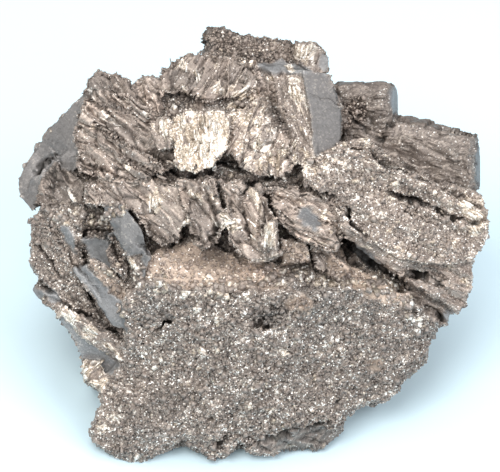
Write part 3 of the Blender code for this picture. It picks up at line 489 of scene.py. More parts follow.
PATCHES = {
    "low ledge": Patch((9.2, -34.9), (7.6, 1.9), 4, BLADED, 0.1, 0.62, 0.1),
    "left strip": Patch((-30.9, -0.3), (2.6, 0.8), -62, SATIN, 0, 0.85, 0.1),
    "window's left wall": Patch((-28.5, -2.7), (2.2, 0.8), -70, CRUST, 0, 0.7, 0.5),
    "window's top": Patch((-26.3, 0.5), (1.9, 0.9), -10, CRUST, 0.05, 0.85, 0.6),
    "low left face": Patch((-33.6, -10.4), (2, 0.9), -50, SATIN, 0, 0.85, 0.2),
    "lowest left end": Patch((-36.5, -9.6), (1.4, 0.9), -60, SATIN, 0, 0.85, 0.3),
    "row's grey facet": Patch((10.1, 2.9), (2.4, 1.4), -55, SATIN, 0, 0.78, 0.1),
    "band over the ridge": Patch((5.8, 28.7), (4.8, 1.1), -8, SATIN, 0, 0.82, 0.3),
    # The trough is made darker as painted shade in its hollow.
    "trough": Patch((4.4, 21.2), (4.4, 1.4), -62, DUSTY, 0, 0.62, 0.8),
    "sugar, dark left": Patch((-17.1, -13), (4.1, 1.5), -4, SUGARY, 0, 0.8, 0),
    "sugar, dark middle": Patch((3.9, -13.8), (3.4, 1.4), 14, CRUST, 0.05, 0.95, 0),
    "sugar, brown spot": Patch((8.4, -11.4), (2, 1.5), 0, DUSTY, 0, 0.82, 1),
    "sugar, brown fleck": Patch((21.3, -22), (1.5, 1.2), 0, DUSTY, 0, 0.82, 0.9),
    "sugar, smooth foot": Patch((-15.7, -34.3), (4.4, 2), -12, SUGARY, 0, 0.96, 0),
    "grey sand": Patch((11.6, -8.2), (6.5, 1.9), -6, SUGARY, 0, 0.85, 0.1),
    "blades' tip": Patch((34.1, -14), (1.4, 0.9), -40, SATIN, 0, 1.05, 0),
    "lip's side": Patch((19.8, -3.4), (2.9, 1), -42, SATIN, 0, 0.8, 0.3),
    # The prisms' ends are tinted blue grey, partly as a painted reflection of the pale floor.
    "upper prism's end": Patch((24.9, 23.2), (0.8, 2.9), 0, SATIN, 0, 0.94, 0),
    "lower prism's end": Patch((39.4, 11.8), (0.8, 4.9), 0, SATIN, 0, 0.78, 0),
    "knob by the crust": Patch((12.8, 29.5), (1, 1.9), 0, SATIN, 0, 0.85, 0.4),
    # Painted light: these three are made lighter to lift ground that lies in the shade of the crystals over it.
    "ledge's right end": Patch((0.6, -6), (4.6, 1.7), -4, DUSTY, 0, 1.6, 0.8),
    "tan scree, right": Patch((20.6, -8.4), (6.6, 1.9), -24, DUSTY, 0, 1.26, 0.7),
    "tan blocks": Patch((15.6, -5), (2.6, 2), -50, DUSTY, 0.05, 1.2, 0.7),
    "tan scree": Patch((-7.3, -4.4), (5.1, 2), -12, DUSTY, 0, 1.12, 0.9),
    "fan's gold side": Patch((-8.7, 19.4), (1, 3.4), 0, CLEAVED, 0.35, 0.85, 1),
    "plate's sandy end": Patch((-20.1, -5.5), (1.7, 2.4), -30, SUGARY, 0.05, 0.85, 0.3),
    "dark behind the slab": Patch((18.1, 21.2), (2, 2.7), -20, CRUST, 0, 1.2, 0.6),
    "tip of the slab": Patch((37.9, 3.4), (2, 1.2), -30, CLEAVED, 0.8, 1.1, 0.8),
}


@dataclass(frozen=True)
class Splinters:
    """A bright cleavage crystal at a place of the show face: a few laths side by side."""

    across: float
    up: float
    length: float
    width: float
    turn_deg: float


# Bright cleavage crystals: the skin near them, and their splinters, are painted cream white as painted
# highlights.
BRIGHT_CRYSTALS = [
    Splinters(*row)
    for row in (
        # The fan and its left lobe.
        (-14.8, 18.4, 3.2, 1.1, 100), (-11.9, 19.4, 3, 1.6, 97), (-7, 18.9, 3.6, 2.6, 92),
        (-9.2, 17.4, 4, 0.9, 100), (-7.5, 15, 4, 1.2, 86), (-11.9, 11.6, 1.6, 1, 110),
        (-10.2, 14.3, 3.4, 0.8, 66),
        # The speckled middle.
        (-1.7, 23.9, 2.4, 1.8, 40), (0.3, 23.4, 1.6, 1, 60), (1.4, 19.4, 1.8, 1.2, 70),
        (1.4, 15.5, 2, 1.3, 100), (3.4, 14.2, 2.2, 1, 62), (-3.1, 22.2, 1.8, 1.4, 30),
        # The slope.
        (-11.4, 29.3, 1.9, 0.9, 98), (-9, 27.3, 2.4, 0.9, 104), (-11.4, 25.6, 2.2, 0.7, 118),
        (-5.5, 24.9, 2, 1.3, 35),
        # The ridge.
        (6.8, 28.7, 1.6, 0.9, 120), (7.5, 24.6, 2.4, 1.4, 108), (8, 23.2, 2, 1, 100), (7.8, 15.9, 1.4, 0.9, 45),
        # The row.
        (-16.4, 5.6, 3.4, 1.5, 96), (-9.2, 6.8, 2.6, 0.8, -48), (-10.9, 2.4, 2.2, 0.7, 60),
        (-3.1, 2, 3, 1.5, 12), (-4.1, 3.4, 2, 0.9, -30), (3.2, 0, 4.4, 1.6, 82), (12.8, 3.9, 1.3, 1, 20),
        # The right slab, and the prism's foot.
        (38.2, 3.4, 3.4, 1.4, -32), (38.7, 1, 2.2, 1.4, -60), (36.8, 5.1, 3, 0.9, -24),
        (20.1, 15.9, 1.3, 1.1, 20), (23.5, 13.8, 0.9, 0.7, 40), (31, -1.4, 1, 0.8, 0),
        (21.5, 5.5, 1.2, 0.6, -30),
        # The crust.
        (9.6, 31.4, 2.4, 1.6, 74), (10.6, 32.1, 1.8, 0.9, 80), (8.4, 30.7, 1.6, 0.9, 70),
        # The spindle.
        (-30, -13.3, 2.6, 1, -42), (-27, -16.4, 2.8, 1.2, -44), (-24.2, -19.1, 2.4, 1, -46),
        (-22.5, -20.8, 1.6, 0.7, -50),
        # The knobs.
        (-28, -22.5, 1.8, 1.4, 40), (-25.9, -21.8, 1.8, 1, 50), (-26.6, -24.9, 2, 1, -20),
        (-28, -23.9, 1.4, 1, 70),
        # The sugar, from its corner.
        (-25.4, -32.6, 1.5, 1.2, 30), (-5.5, -14.5, 1.2, 1, 10), (0.2, -26.1, 1, 0.9, 70),
        (5.6, -20, 1.3, 1, 20), (10.7, -24.2, 0.9, 0.8, 40), (-8.4, -19.8, 1.6, 0.9, -30),
        (-8.9, -22.5, 1.2, 0.6, 30), (-0.2, -29.2, 1.2, 0.9, 80), (3.8, -29.9, 1.1, 0.9, 30),
        (-5.5, -19.8, 1, 0.8, 60),
        # The lip of the sugary block.
        (-17.4, -6.7, 1, 0.9, 30), (-7.2, -7.2, 1.7, 1, 20), (-19.1, -8.4, 1.2, 0.8, 10),
        (-4.8, -7.2, 1.1, 0.8, 60), (-0.7, -10.2, 1.4, 0.6, 5), (-9.2, -12.8, 1.2, 0.5, 0),
        (-15, -6.1, 0.9, 0.7, 70), (22.9, -7.5, 1.2, 0.9, -50), (23.9, -9, 1.2, 0.9, 30),
        # The blades' tip.
        (36.8, -8, 1.6, 0.9, -60),
    )
]


@dataclass
class Skin:
    """What is known of each point of a chunk's skin.

    weights is the share of each habit, sink is how far seams lower it, and across and along are
    the directions of its blades. dark is painted shade from the seams, the walls of gaps and the
    furrows. The rest is what Region says.
    """

    places: Array
    normals: Array
    weights: Array
    bright: Array
    dark: Array
    relief: Array
    tone: Array
    warmth: Array
    sink: Array
    across: Array
    along: Array


# For each habit, the one that shows through it, and its share.
SHOWS_THROUGH = {
    SUGARY: (BLADED, 0.16),
    BLADED: (SUGARY, 0.10),
    SATIN: (SUGARY, 0.035),
    CLEAVED: (SUGARY, 0.2),
    DUSTY: (SUGARY, 0.2),
    CRUST: (BLADED, 0.05),
}


@dataclass
class Surveyor:
    """Finds out how the mineral has grown at each point of the surface.

    reach is how far off a region's face its skin may lie, and deepest how far behind it the walls
    of a gap still count. wall_painted_shade is the painted shade laid on those walls, and wall_bright their
    brightness.
    Nothing behind shown_out is dressed by the show face's patches and seams. waver is how far the
    outlines wander, and back_cell the size of the crystals behind.
    """

    face: ShowFace
    reach: float = 2.4
    deepest: float = 9.0
    wall_painted_shade: float = 0.45
    wall_bright: float = 0.03
    shown_out: float = -8.0
    waver: float = 0.45
    back_cell: float = 17.0

    def survey(self, places: Array, normals: Array) -> Skin:
        """Reads the habit, brightness and grain at each place.

        Args:
            places: Points of the surface, one row each.
            normals: The outward direction at each.

        Returns:
            What is known of the skin there.
        """
        local = self.face.read(places)
        across = local[:, 0] + self.waver * swell(places / 0.9, 11)
        up = local[:, 1] + self.waver * swell(places / 0.9, 12)
        out = local[:, 2]
        count = len(places)
        weights = np.zeros((count, len(Habit)))
        skin = Skin(places, normals, weights, *np.zeros((6, count)), *self.back_grain(places))
        # What holds where no region does, as on the back.
        skin.bright += 0.1
        skin.relief += 1.0
        skin.tone += 0.97 - 0.07 * np.clip(across / 25, 0, 1)
        skin.warmth += 0.35
        habit = np.full(count, int(SUGARY))
        blend = np.full(count, 0.3)
        front = np.full(count, 99.0)
        for region in REGIONS.values():
            inside = region.holds(across, up)
            gap = region.gap(across, up, out)
            deep = inside & (gap < -self.reach) & (gap > -self.deepest)
            size = np.where(deep, 20.0 - gap, np.where(np.abs(gap) <= self.reach, np.abs(gap), 99.0))
            better = inside & (size < front)
            front[better] = size[better]
            habit[better] = region.habit
            blend[better] = region.blend
            for name in ("bright", "relief", "tone", "warmth"):
                getattr(skin, name)[better] = getattr(region, name)
            skin.dark[better] = 0.0
            # The walls of a deep gap get painted shade.
            walls = better & deep
            habit[walls] = BLADED
            skin.dark[walls] = self.wall_painted_shade
            skin.bright[walls] = self.wall_bright
            turn = math.radians(region.grain_deg)
            skin.along[better] = np.array((math.cos(turn), math.sin(turn), 0.0)) @ self.face.axes()
            skin.across[better] = np.array((-math.sin(turn), math.cos(turn), 0.0)) @ self.face.axes()
        behind = (front > 98) & ((normals[:, 1] > 0.2) | (out < -7))
        blend[behind] = 2.6 + 3.4 * swell(places[behind] / 8.0, 32)
        skin.warmth[behind] = 0.55 + 0.4 * swell(places[behind] / 11.0, 33)
        shown = out > self.shown_out
        edge = 0.3 * swell(places / 1.1, 34)
        for patch in PATCHES.values():
            inside = shown & (patch.reach(across, up) + edge < 1)
            habit[inside] = patch.habit
            for name in ("bright", "tone", "warmth"):
                getattr(skin, name)[inside] = getattr(patch, name)
            skin.dark[inside] *= 0.6
        for crystal in BRIGHT_CRYSTALS:
            half = (0.55 * crystal.length, 0.75 * crystal.width)
            near = Patch((crystal.across, crystal.up), half, crystal.turn_deg, CLEAVED, 0.8, 1.0, 0.7)
            glow = shown * np.clip(1.3 - near.reach(across, up) - edge, 0, near.bright)
            skin.bright = np.maximum(skin.bright, glow)
        self.weigh(skin, habit, blend)
        self.furrow(skin, across, up, shown)
        return skin

    def weigh(self, skin: Skin, habit: Array, blend: Array) -> None:
        """Shares each place between its own habit and the one that shows through it.

        Args:
            skin: The skin, whose weights are filled in.
            habit: The number of each place's own habit.
            blend: How strongly the other habit shows there.
        """
        uneven = 1 + 0.6 * swell(skin.places / 2.3, 35)
        for own, (other, share) in SHOWS_THROUGH.items():
            here = habit == own
            part = np.clip(share * blend * uneven, 0, 0.85)[here]
            skin.weights[here, own] = 1 - part
            skin.weights[here, other] += part

    def furrow(self, skin: Skin, across: Array, up: Array, shown: Array) -> None:
        """Sinks the skin along the seams and paints shade into them, more in some places than in others.

        Args:
            skin: The skin, whose sink and dark are changed.
            across: Each place's distance across.
            up: Each place's distance up.
            shown: True for each place that the show face's seams can reach.
        """
        broken = np.clip(0.8 + 0.9 * swell(skin.places / 1.4, 36), 0.1, 1.3) * shown
        steps = np.zeros(len(across))
        for seam in SEAMS:
            near, step = seam.nearness(across, up)
            near = np.clip(near * broken, 0, 1)
            skin.sink = np.maximum(skin.sink, seam.depth * near)
            # Painted shade along the seam.
            skin.dark = np.maximum(skin.dark, seam.painted_shade * np.clip(near * 2.0 - 0.4, 0, 1))
            steps += 0.35 * seam.depth * step * shown
        skin.sink += np.clip(steps, -0.6, 0.6)

    def back_grain(self, places: Array) -> tuple[Array, Array]:
        """Directions across and along the blades where the show face says nothing."""
        along = crystal_cells(places / self.back_cell, 31).luck - 0.5 + np.array((0.0, 0.0, 0.25))
        along /= np.linalg.norm(along, axis=1, keepdims=True)
        side = np.cross(along, np.array((0.31, 0.88, 0.36)))
        return side / np.linalg.norm(side, axis=1, keepdims=True), along


@dataclass(frozen=True)
class Chunk:
    """A part of the specimen that is meshed by itself.

    Each plane is a point and a direction in the show face's frame. What lies on the side that
    the direction points to is cut off. voxel is the mesh's fineness.
    """

    name: str
    planes: tuple[tuple[Triple, Triple], ...]
    voxel: float


NO_BACK = ((0, 0, -5.5), (0, 0, -1))
NO_FRONT = ((0, 0, -4.3), (0, 0, 1))
NO_BLOCK = ((0, -8.7, 0), (0, -1, 0))
CHUNKS = (
    Chunk("sugary_block", (NO_BACK, ((0, -7.5, 0), (0, 1, 0))), 0.228),
    Chunk("left_crystals", (NO_BACK, NO_BLOCK, ((-3, 0, 0), (1, 0, 0))), 0.216),
    Chunk("right_crystals", (NO_BACK, NO_BLOCK, ((-4.2, 0, 0), (-1, 0, 0))), 0.238),
    Chunk("back_left", (NO_FRONT, ((0.6, 0, 0), (1, 0, 0))), 0.36),
    Chunk("back_right", (NO_FRONT, ((-0.6, 0, 0), (-1, 0, 0))), 0.36),
)


def only(obj: bpy.types.Object) -> None:
    """Makes an object the only one that is selected, and the active one."""
    bpy.ops.object.select_all(action="DESELECT")
    obj.select_set(True)
    bpy.context.view_layer.objects.active = obj


def add_object(name: str, data: bpy.types.ID) -> bpy.types.Object:
    """Puts a new object into the scene."""
    obj = bpy.data.objects.new(name, data)
    bpy.context.scene.collection.objects.link(obj)
    return obj


def finish_piece(piece: bpy.types.Object) -> None:
    """Rides a finished piece on the specimen's body, hides the imported solid and logs its triangles."""
    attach(piece, BODY)
    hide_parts(NODE)
    triangles = sum(len(face.vertices) - 2 for face in piece.data.polygons)
    log.info("%s: %d triangles", piece.name, triangles)


def fetch(items: bpy.types.bpy_prop_collection, name: str, width: int, kind: type = np.float32) -> Array:
    """Reads one property of all the points, edges, corners or faces of a mesh, one row each."""
    flat = np.zeros(len(items) * width, kind)
    items.foreach_get(name, flat)
    return flat.reshape(-1, width)


def store(mesh: bpy.types.Mesh, name: str, values: Array) -> None:
    """Stores a number or a vector for each point of the mesh under a name."""
    kind, part = ("FLOAT", "value") if values.ndim == 1 else ("FLOAT_VECTOR", "vector")
    layer = mesh.attributes.new(name, kind, "POINT")
    layer.data.foreach_set(part, values.astype(np.float32).ravel())


def neighbour_mean(mesh: bpy.types.Mesh, stack: Array) -> Array:
    """The mean of each point's neighbours along the mesh's edges, column by column."""
    edges = fetch(mesh.edges, "vertices", 2, np.int32)
    count = len(mesh.vertices)
    total = np.zeros_like(stack)
    for column in range(stack.shape[1]):
        total[:, column] = np.bincount(edges[:, 0], stack[edges[:, 1], column], count)
        total[:, column] += np.bincount(edges[:, 1], stack[edges[:, 0], column], count)
    return total / np.maximum(np.bincount(edges.ravel(), minlength=count), 1)[:, None]


@dataclass
class Body:
    """The specimen's whole skin, in chunks.

    rim is how much deeper the second cut of a chunk goes, blur_turns how often neighbouring
    values are evened out, and edge_light_and_hollow_shade how much lighter an edge is than a hollow, which is
    darkened as painted shade.
    """

    face: ShowFace
    surveyor: Surveyor
    material: bpy.types.Material
    rim: float = 0.45
    blur_turns: int = 3
    edge_light_and_hollow_shade: float = 3.0
    skins: list[Skin] = field(default_factory=list)

    def build(self) -> None:
        """Builds every chunk."""
        for chunk in CHUNKS:
            piece = self.cut(chunk)
            self.carve(piece.data, chunk)
            piece.data.materials.clear()
            piece.data.materials.append(self.material)
            finish_piece(piece)

    def cut(self, chunk: Chunk) -> bpy.types.Object:
        """Cuts one chunk out of a copy of the solid and meshes it finely.

        Args:
            chunk: The chunk to make.

        Returns:
            The chunk's object, closed again on each cut.
        """
        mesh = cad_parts[NODE].data.copy()
        mesh.name = chunk.name
        piece = add_object(chunk.name, mesh)
        only(piece)
        bpy.ops.object.mode_set(mode="EDIT")
        bpy.ops.mesh.select_all(action="SELECT")
        bpy.ops.mesh.remove_doubles(threshold=0.00001)
        self.bisect(chunk, 0.0)
        bpy.ops.object.mode_set(mode="OBJECT")
        fine = piece.modifiers.new("fine", "REMESH")
        fine.mode = "VOXEL"
        fine.voxel_size = chunk.voxel * MM
        bpy.ops.object.modifier_apply(modifier="fine")
        bpy.ops.object.mode_set(mode="EDIT")
        self.bisect(chunk, self.rim)
        bpy.ops.object.mode_set(mode="OBJECT")
        return piece

    def bisect(self, chunk: Chunk, inset: float) -> None:
        """Cuts the mesh in edit mode on the chunk's planes, moved in by inset, and closes it."""
        for point, direction in chunk.planes:
            normal = np.array(direction, float) @ self.face.axes()
            place = (self.face.place(*point) - normal * inset) * MM
            bpy.ops.mesh.select_all(action="SELECT")
            bpy.ops.mesh.bisect(
                plane_co=place, plane_no=normal, use_fill=True, clear_outer=True, threshold=1e-7
            )

    def carve(self, mesh: bpy.types.Mesh, chunk: Chunk) -> None:
        """Gives the chunk its relief, and stores what its material reads.

        Args:
            mesh: The chunk's mesh.
            chunk: The chunk that it is.
        """
        places = fetch(mesh.vertices, "co", 3).astype(np.float64) / MM
        normals = fetch(mesh.vertices, "normal", 3).astype(np.float64)
        skin = self.surveyor.survey(places, normals)
        self.blur(mesh, skin)
        grain = np.stack([(places * way).sum(1) for way in (skin.across, skin.along, normals)], axis=1)
        calm = self.away_from_cuts(places, chunk)
        height = (self.relief(skin, grain) - skin.sink) * calm
        moved = places + normals * height[:, None] + self.warp(skin) * calm[:, None]
        moved[:, 2] = np.maximum(moved[:, 2], 0.0)
        mesh.vertices.foreach_set("co", (moved * MM).astype(np.float32).ravel())
        mesh.update()
        for habit in Habit:
            store(mesh, habit.name.lower(), skin.weights[:, habit])
        store(mesh, "bright", skin.bright)
        store(mesh, "dark", skin.dark)
        # The tone is lighter on raised edges and darkened in hollows as painted shade.
        store(mesh, "tone", skin.tone * self.light_edges_and_hollow_shade(mesh, moved, normals))
        store(mesh, "warmth", skin.warmth)
        store(mesh, "grain", grain)
        self.facet(mesh, skin)
        skin.places = moved
        self.skins.append(skin)

    def blur(self, mesh: bpy.types.Mesh, skin: Skin) -> None:
        """Lets neighbouring habits run into each other over a few tenths of a millimetre."""
        stack = np.column_stack((skin.weights, skin.bright, skin.dark, skin.relief, skin.tone, skin.warmth))
        for _ in range(self.blur_turns):
            stack = 0.4 * stack + 0.6 * neighbour_mean(mesh, stack)
        skin.weights = stack[:, : len(Habit)]
        skin.bright, skin.dark, skin.relief, skin.tone, skin.warmth = stack[:, -5:].T

    def light_edges_and_hollow_shade(self, mesh: bpy.types.Mesh, moved: Array, normals: Array) -> Array:
        """A tone that is lighter on edges that stand out and darker in hollows, as painted shade."""
        hollow = ((neighbour_mean(mesh, moved) - moved) * normals).sum(1, keepdims=True)
        wide = neighbour_mean(mesh, neighbour_mean(mesh, hollow))
        return np.clip(1 - self.edge_light_and_hollow_shade * (hollow + 2.0 * wide)[:, 0], 0.6, 1.35)

    def warp(self, skin: Skin) -> Array:
        """A gentle wander of the whole skin, so that no edge stays straight."""
        wander = np.stack([swell(skin.places / 1.7, seed) for seed in (41, 42, 43)], axis=1)
        loose = 1 - skin.weights[:, SATIN] - 0.4 * skin.weights[:, BLADED]
        return wander * (0.28 * loose)[:, None]

    def relief(self, skin: Skin, grain: Array) -> Array:
        """How far the skin stands out at each point. Its tints are changed to match.

        Args:
            skin: What is known of the skin.
            grain: The points measured across and along the blades and out.

        Returns:
            A height in millimetres for each point.
        """
        places = skin.places
        # Sugar: coarse and fine grains, each standing out and tilted its own way.
        coarse = crystal_cells(places / 1.25, 3)
        fine = crystal_cells(places / 0.55, 4)
        sugar = 0.30 * coarse.rise(0) + 0.55 * (((coarse.luck - 0.5) * coarse.offset).sum(1) * 1.25)
        sugar += 0.20 * fine.rise(0) + 0.70 * (((fine.luck - 0.5) * fine.offset).sum(1) * 0.55)
        sugar += 0.35 * swell(places / 3.0, 5)
        # Blades: great crystals made up of blades, with small flakes on them. The sizes are a
        # crystal's width, length and thickness.
        bent = grain.copy()
        bent[:, 0] += 0.5 * swell(places / 2.6, 6) + 0.10 * swell(places / 0.9, 16)
        blade = crystal_cells(bent / np.array((1.9, 5.5, 3.0)), 7)
        great = crystal_cells(bent / np.array((3.0, 7.5, 6.0)), 19)
        flake = crystal_cells(bent / np.array((0.65, 1.7, 1.3)), 8)
        groove = (1 - np.clip((blade.second - blade.near) / 0.16, 0, 1)) * (blade.luck[:, 2] < 0.3)
        crack = (1 - np.clip((great.second - great.near) / 0.09, 0, 1)) * (great.luck[:, 1] < 0.7)
        blades = 0.45 * blade.rise(0) + 1.0 * blade.rise(1) * blade.offset[:, 0]
        blades += 0.8 * blade.rise(2) * blade.offset[:, 1]
        blades += 0.05 * flake.rise(0) + 0.06 * swell(grain / np.array((0.6, 2.4, 1.2)), 39)
        blades -= 0.35 * groove + 0.4 * (blade.luck[:, 2] < 0.05)
        blades += 1.1 * great.rise(0) + 2.0 * great.rise(1) * great.offset[:, 0]
        blades -= 1.0 * great.near**2 + 0.5 * crack
        blades += 0.35 * swell(places / 4.0, 17)
        # Fresh cleavage: narrow steps side by side.
        striae = crystal_cells(bent / np.array((0.5, 3.2, 1.6)), 18)
        cleaved = 0.34 * striae.rise(0) + 0.5 * striae.rise(1) * striae.offset[:, 0]
        cleaved += 0.4 * blade.rise(0) + 0.3 * flake.rise(0)
        self.tint(skin, blade, great, np.maximum(groove, crack))
        by_habit = {
            SUGARY: sugar * skin.relief,
            BLADED: blades * skin.relief,
            SATIN: 0.06 * swell(places / 3.0, 9) + 0.03 * swell(grain / np.array((0.7, 9.0, 3.0)), 10),
            CLEAVED: cleaved * skin.relief,
            DUSTY: 0.30 * swell(places / 2.2, 14) + 0.12 * swell(places / 0.7, 15),
            CRUST: 1.15 * sugar - 0.2 * np.clip(coarse.near - 0.5, 0, 1),
        }
        return sum(skin.weights[:, habit] * height for habit, height in by_habit.items())

    def tint(self, skin: Skin, blade: Cells, great: Cells, furrow: Array) -> None:
        """Gives each blade its own tone and brightness, and paints shade into the furrows between blades.

        Args:
            skin: The skin to tint.
            blade: Its blades.
            great: The great crystals that the blades make up.
            furrow: How far each point lies in a furrow, from 0 to 1.
        """
        bladed = skin.weights[:, BLADED]
        furrow = furrow * np.clip(0.75 + swell(skin.places / 1.6, 37), 0, 1)
        # Painted shade in the furrows between blades.
        skin.dark = np.maximum(skin.dark, 0.85 * bladed * furrow)
        skin.tone *= 1 + bladed * (0.20 * blade.rise(0) + 0.22 * great.rise(2))
        skin.warmth += bladed * (0.5 * blade.rise(1) + 0.4 * great.rise(0))
        skin.bright += 0.22 * bladed * (blade.luck[:, 0] > 0.86)
        patchy = 0.5 * (blade.luck[:, 0] - 0.55) + 0.25 * swell(skin.places / 1.8, 38)
        skin.bright += skin.weights[:, CLEAVED] * patchy

    def away_from_cuts(self, places: Array, chunk: Chunk) -> Array:
        """A factor that falls to nothing where the chunk is cut off inside its neighbour."""
        local = self.face.read(places)
        factor = np.ones(len(places))
        for point, direction in chunk.planes:
            depth = -(local - np.array(point, float)) @ np.array(direction, float) - self.rim
            factor *= np.clip(depth / 0.4, 0, 1)
        return factor

    def facet(self, mesh: bpy.types.Mesh, skin: Skin) -> None:
        """Leaves grainy ground in facets and smooths the rest."""
        grainy = skin.weights[:, SUGARY] + skin.weights[:, CRUST]
        first = fetch(mesh.polygons, "loop_start", 1, np.int32)[:, 0]
        corners = fetch(mesh.loops, "vertex_index", 1, np.int32)[:, 0]
        mesh.polygons.foreach_set("use_smooth", grainy[corners[first]] < 0.5)
        mesh.update()


def add_node(
    tree: bpy.types.NodeTree,
    kind: str,
    inputs: dict[str | int, object] | None = None,
    stops: tuple[tuple[float, str], ...] = (),
    **settings: object,
) -> bpy.types.bpy_prop_collection:
    """Adds one node with its settings and links.

    Args:
        tree: The node tree to add it to.
        kind: The node's type, without the ShaderNode in front.
        inputs: Values or other nodes' outputs for its inputs.
        stops: Places and sRGB colours, for a node that has a colour ramp.
        settings: Values for its properties.

    Returns:
        The new node's outputs.
    """
    node = tree.nodes.new("ShaderNode" + kind)
    for name, value in settings.items():
        setattr(node, name, value)
    for name, value in (inputs or {}).items():
        if isinstance(value, Socket):
            tree.links.new(value, node.inputs[name])
        else:
            node.inputs[name].default_value = value
    if stops:
        marks = node.color_ramp.elements
        while len(marks) < len(stops):
            marks.new(0.5)
        for mark, (at, code) in zip(marks, stops):
            mark.position = at
        for mark, (at, code) in zip(marks, stops):
            mark.color = linear(code)
    return node.outputs


@dataclass(frozen=True)
class ManganiteFinish:
    """Natural manganite, a manganese oxide hydroxide, grown and broken by hand.

    Its lustre is submetallic: dark steel grey to warm grey-brown. Fresh cleavage is painted cream
    white as a painted highlight, and smooth prism faces are tinted blue grey, partly a painted
    reflection of the pale floor. The single grains and glints of the real one are mostly below
    0.1 mm, too fine to show, so grain_mm and glint_mm are coarser, and the glints are painted.
    Striae and blades are given by their width, length and depth.
    """

    pit_and_shade: str = "2A2521"
    shade: str = "6D6560"
    pale: str = "C9BDAF"
    painted_highlight: str = "FFFBF2"
    satin: str = "8B8A89"
    dust: str = "B0A091"
    cool_and_reflected_tint: Triple = (0.91, 0.965, 1.04)
    warm_tint: Triple = (1.035, 0.975, 0.965)
    glint_mm: float = 0.2
    grain_mm: float = 0.25
    clump_mm: float = 1.1
    mottle_mm: float = 1.3
    cloud_mm: float = 7.0
    striae_mm: Triple = (0.24, 2.2, 1.2)
    blade_mm: Triple = (1.5, 4.0, 3.0)
    metallic: float = 0.35
    matte_share: float = 0.78

    def material(self) -> bpy.types.Material:
        """Builds the material of the specimen's skin."""
        made = bpy.data.materials.new("manganite, submetallic natural surface")
        made.use_nodes = True
        add = partial(add_node, made.node_tree)
        marks = self.marks(add)
        # Grains vary from half bright to matt, satin faces are even, and dust is matt.
        rough = add("MapRange", {"Value": marks["speck 1"], "To Min": 0.38, "To Max": 0.7})[0]
        rough = add("Mix", {0: marks["satin"], 2: rough, 3: 0.48})[0]
        rough = add("Mix", {0: marks["dusty"], 2: rough, 3: 0.75})[0]
        metal = add("MapRange", {"Value": marks["dusty"], "To Min": self.metallic, "To Max": 0.15})[0]
        shader = made.node_tree.nodes["Principled BSDF"]
        made.node_tree.links.new(self.colour(add, marks), shader.inputs["Base Color"])
        made.node_tree.links.new(rough, shader.inputs["Roughness"])
        made.node_tree.links.new(metal, shader.inputs["Metallic"])
        made.node_tree.links.new(self.normal(add, marks), shader.inputs["Normal"])
        return made

    def marks(self, add: Adder) -> dict[str, Socket]:
        """Reads what is stored on the skin, and lays the patterns of grains and blades over it.

        Args:
            add: Adds a node to the material.

        Returns:
            Each value or pattern by its name. A name with a number is a pattern's random number.
        """
        names = [habit.name.lower() for habit in Habit] + ["bright", "dark", "tone", "warmth", "chip"]
        marks = {name: add("Attribute", attribute_name=name)["Fac"] for name in names}
        grain = add("Attribute", attribute_name="grain")["Vector"]
        place = add("TexCoord")["Object"]
        mm = add("VectorMath", {0: place, 1: (1000, 1000, 1000)}, operation="MULTIPLY")[0]
        cells = {"speck": self.grain_mm, "clump": self.clump_mm, "glint": self.glint_mm}
        for name, width in cells.items():
            marks[name] = add("TexVoronoi", {"Vector": mm, "Scale": 1 / width})["Color"]
        blade, striae = (
            add("VectorMath", {0: grain, 1: tuple(1 / size for size in sizes)}, operation="MULTIPLY")[0]
            for sizes in (self.blade_mm, self.striae_mm)
        )
        marks["blade"] = add("TexVoronoi", {"Vector": blade, "Scale": 1.0})["Color"]
        marks["striae"] = add("TexNoise", {"Vector": striae, "Scale": 1.0, "Detail": 3.0})[0]
        marks["cloud"] = add("TexNoise", {"Vector": mm, "Scale": 1 / self.cloud_mm, "Detail": 4.0})[0]
        mottle = {"Vector": mm, "Scale": 1 / self.mottle_mm, "Detail": 4.0, "Roughness": 0.65}
        marks["mottle"] = add("TexNoise", mottle)[0]
        for name in ("speck", "clump", "glint", "blade"):
            luck = add("SeparateColor", {0: marks[name]})
            marks[name + " 0"], marks[name + " 1"] = luck[0], luck[1]
        return marks

    def colour(self, add: Adder, marks: dict[str, Socket]) -> Socket:
        """Colours each habit its own way, lays painted highlights of fresh cleavage and glints and painted
        shade over it, and tints it.

        Args:
            add: Adds a node to the material.
            marks: The stored values and the patterns.

        Returns:
            The base colour.
        """
        sugar_tone = add("Mix", {0: 0.3, 2: marks["speck 0"], 3: marks["clump 0"]})[0]
        blade_tone = add("Mix", {0: 0.45, 2: marks["striae"], 3: marks["blade 0"]})[0]
        tones = {
            "sugary": sugar_tone,
            "crust": sugar_tone,
            "dusty": add("Mix", {0: 0.6, 2: marks["speck 0"], 3: marks["cloud"]})[0],
            "satin": add("Mix", {0: 0.45, 2: marks["speck 0"], 3: marks["cloud"]})[0],
            "bladed": blade_tone,
            "matte": add("Mix", {0: 0.22, 2: marks["mottle"], 3: marks["speck 0"]})[0],
            "cleaved": add("Mix", {0: 0.3, 2: blade_tone, 3: marks["speck 0"]})[0],
        }
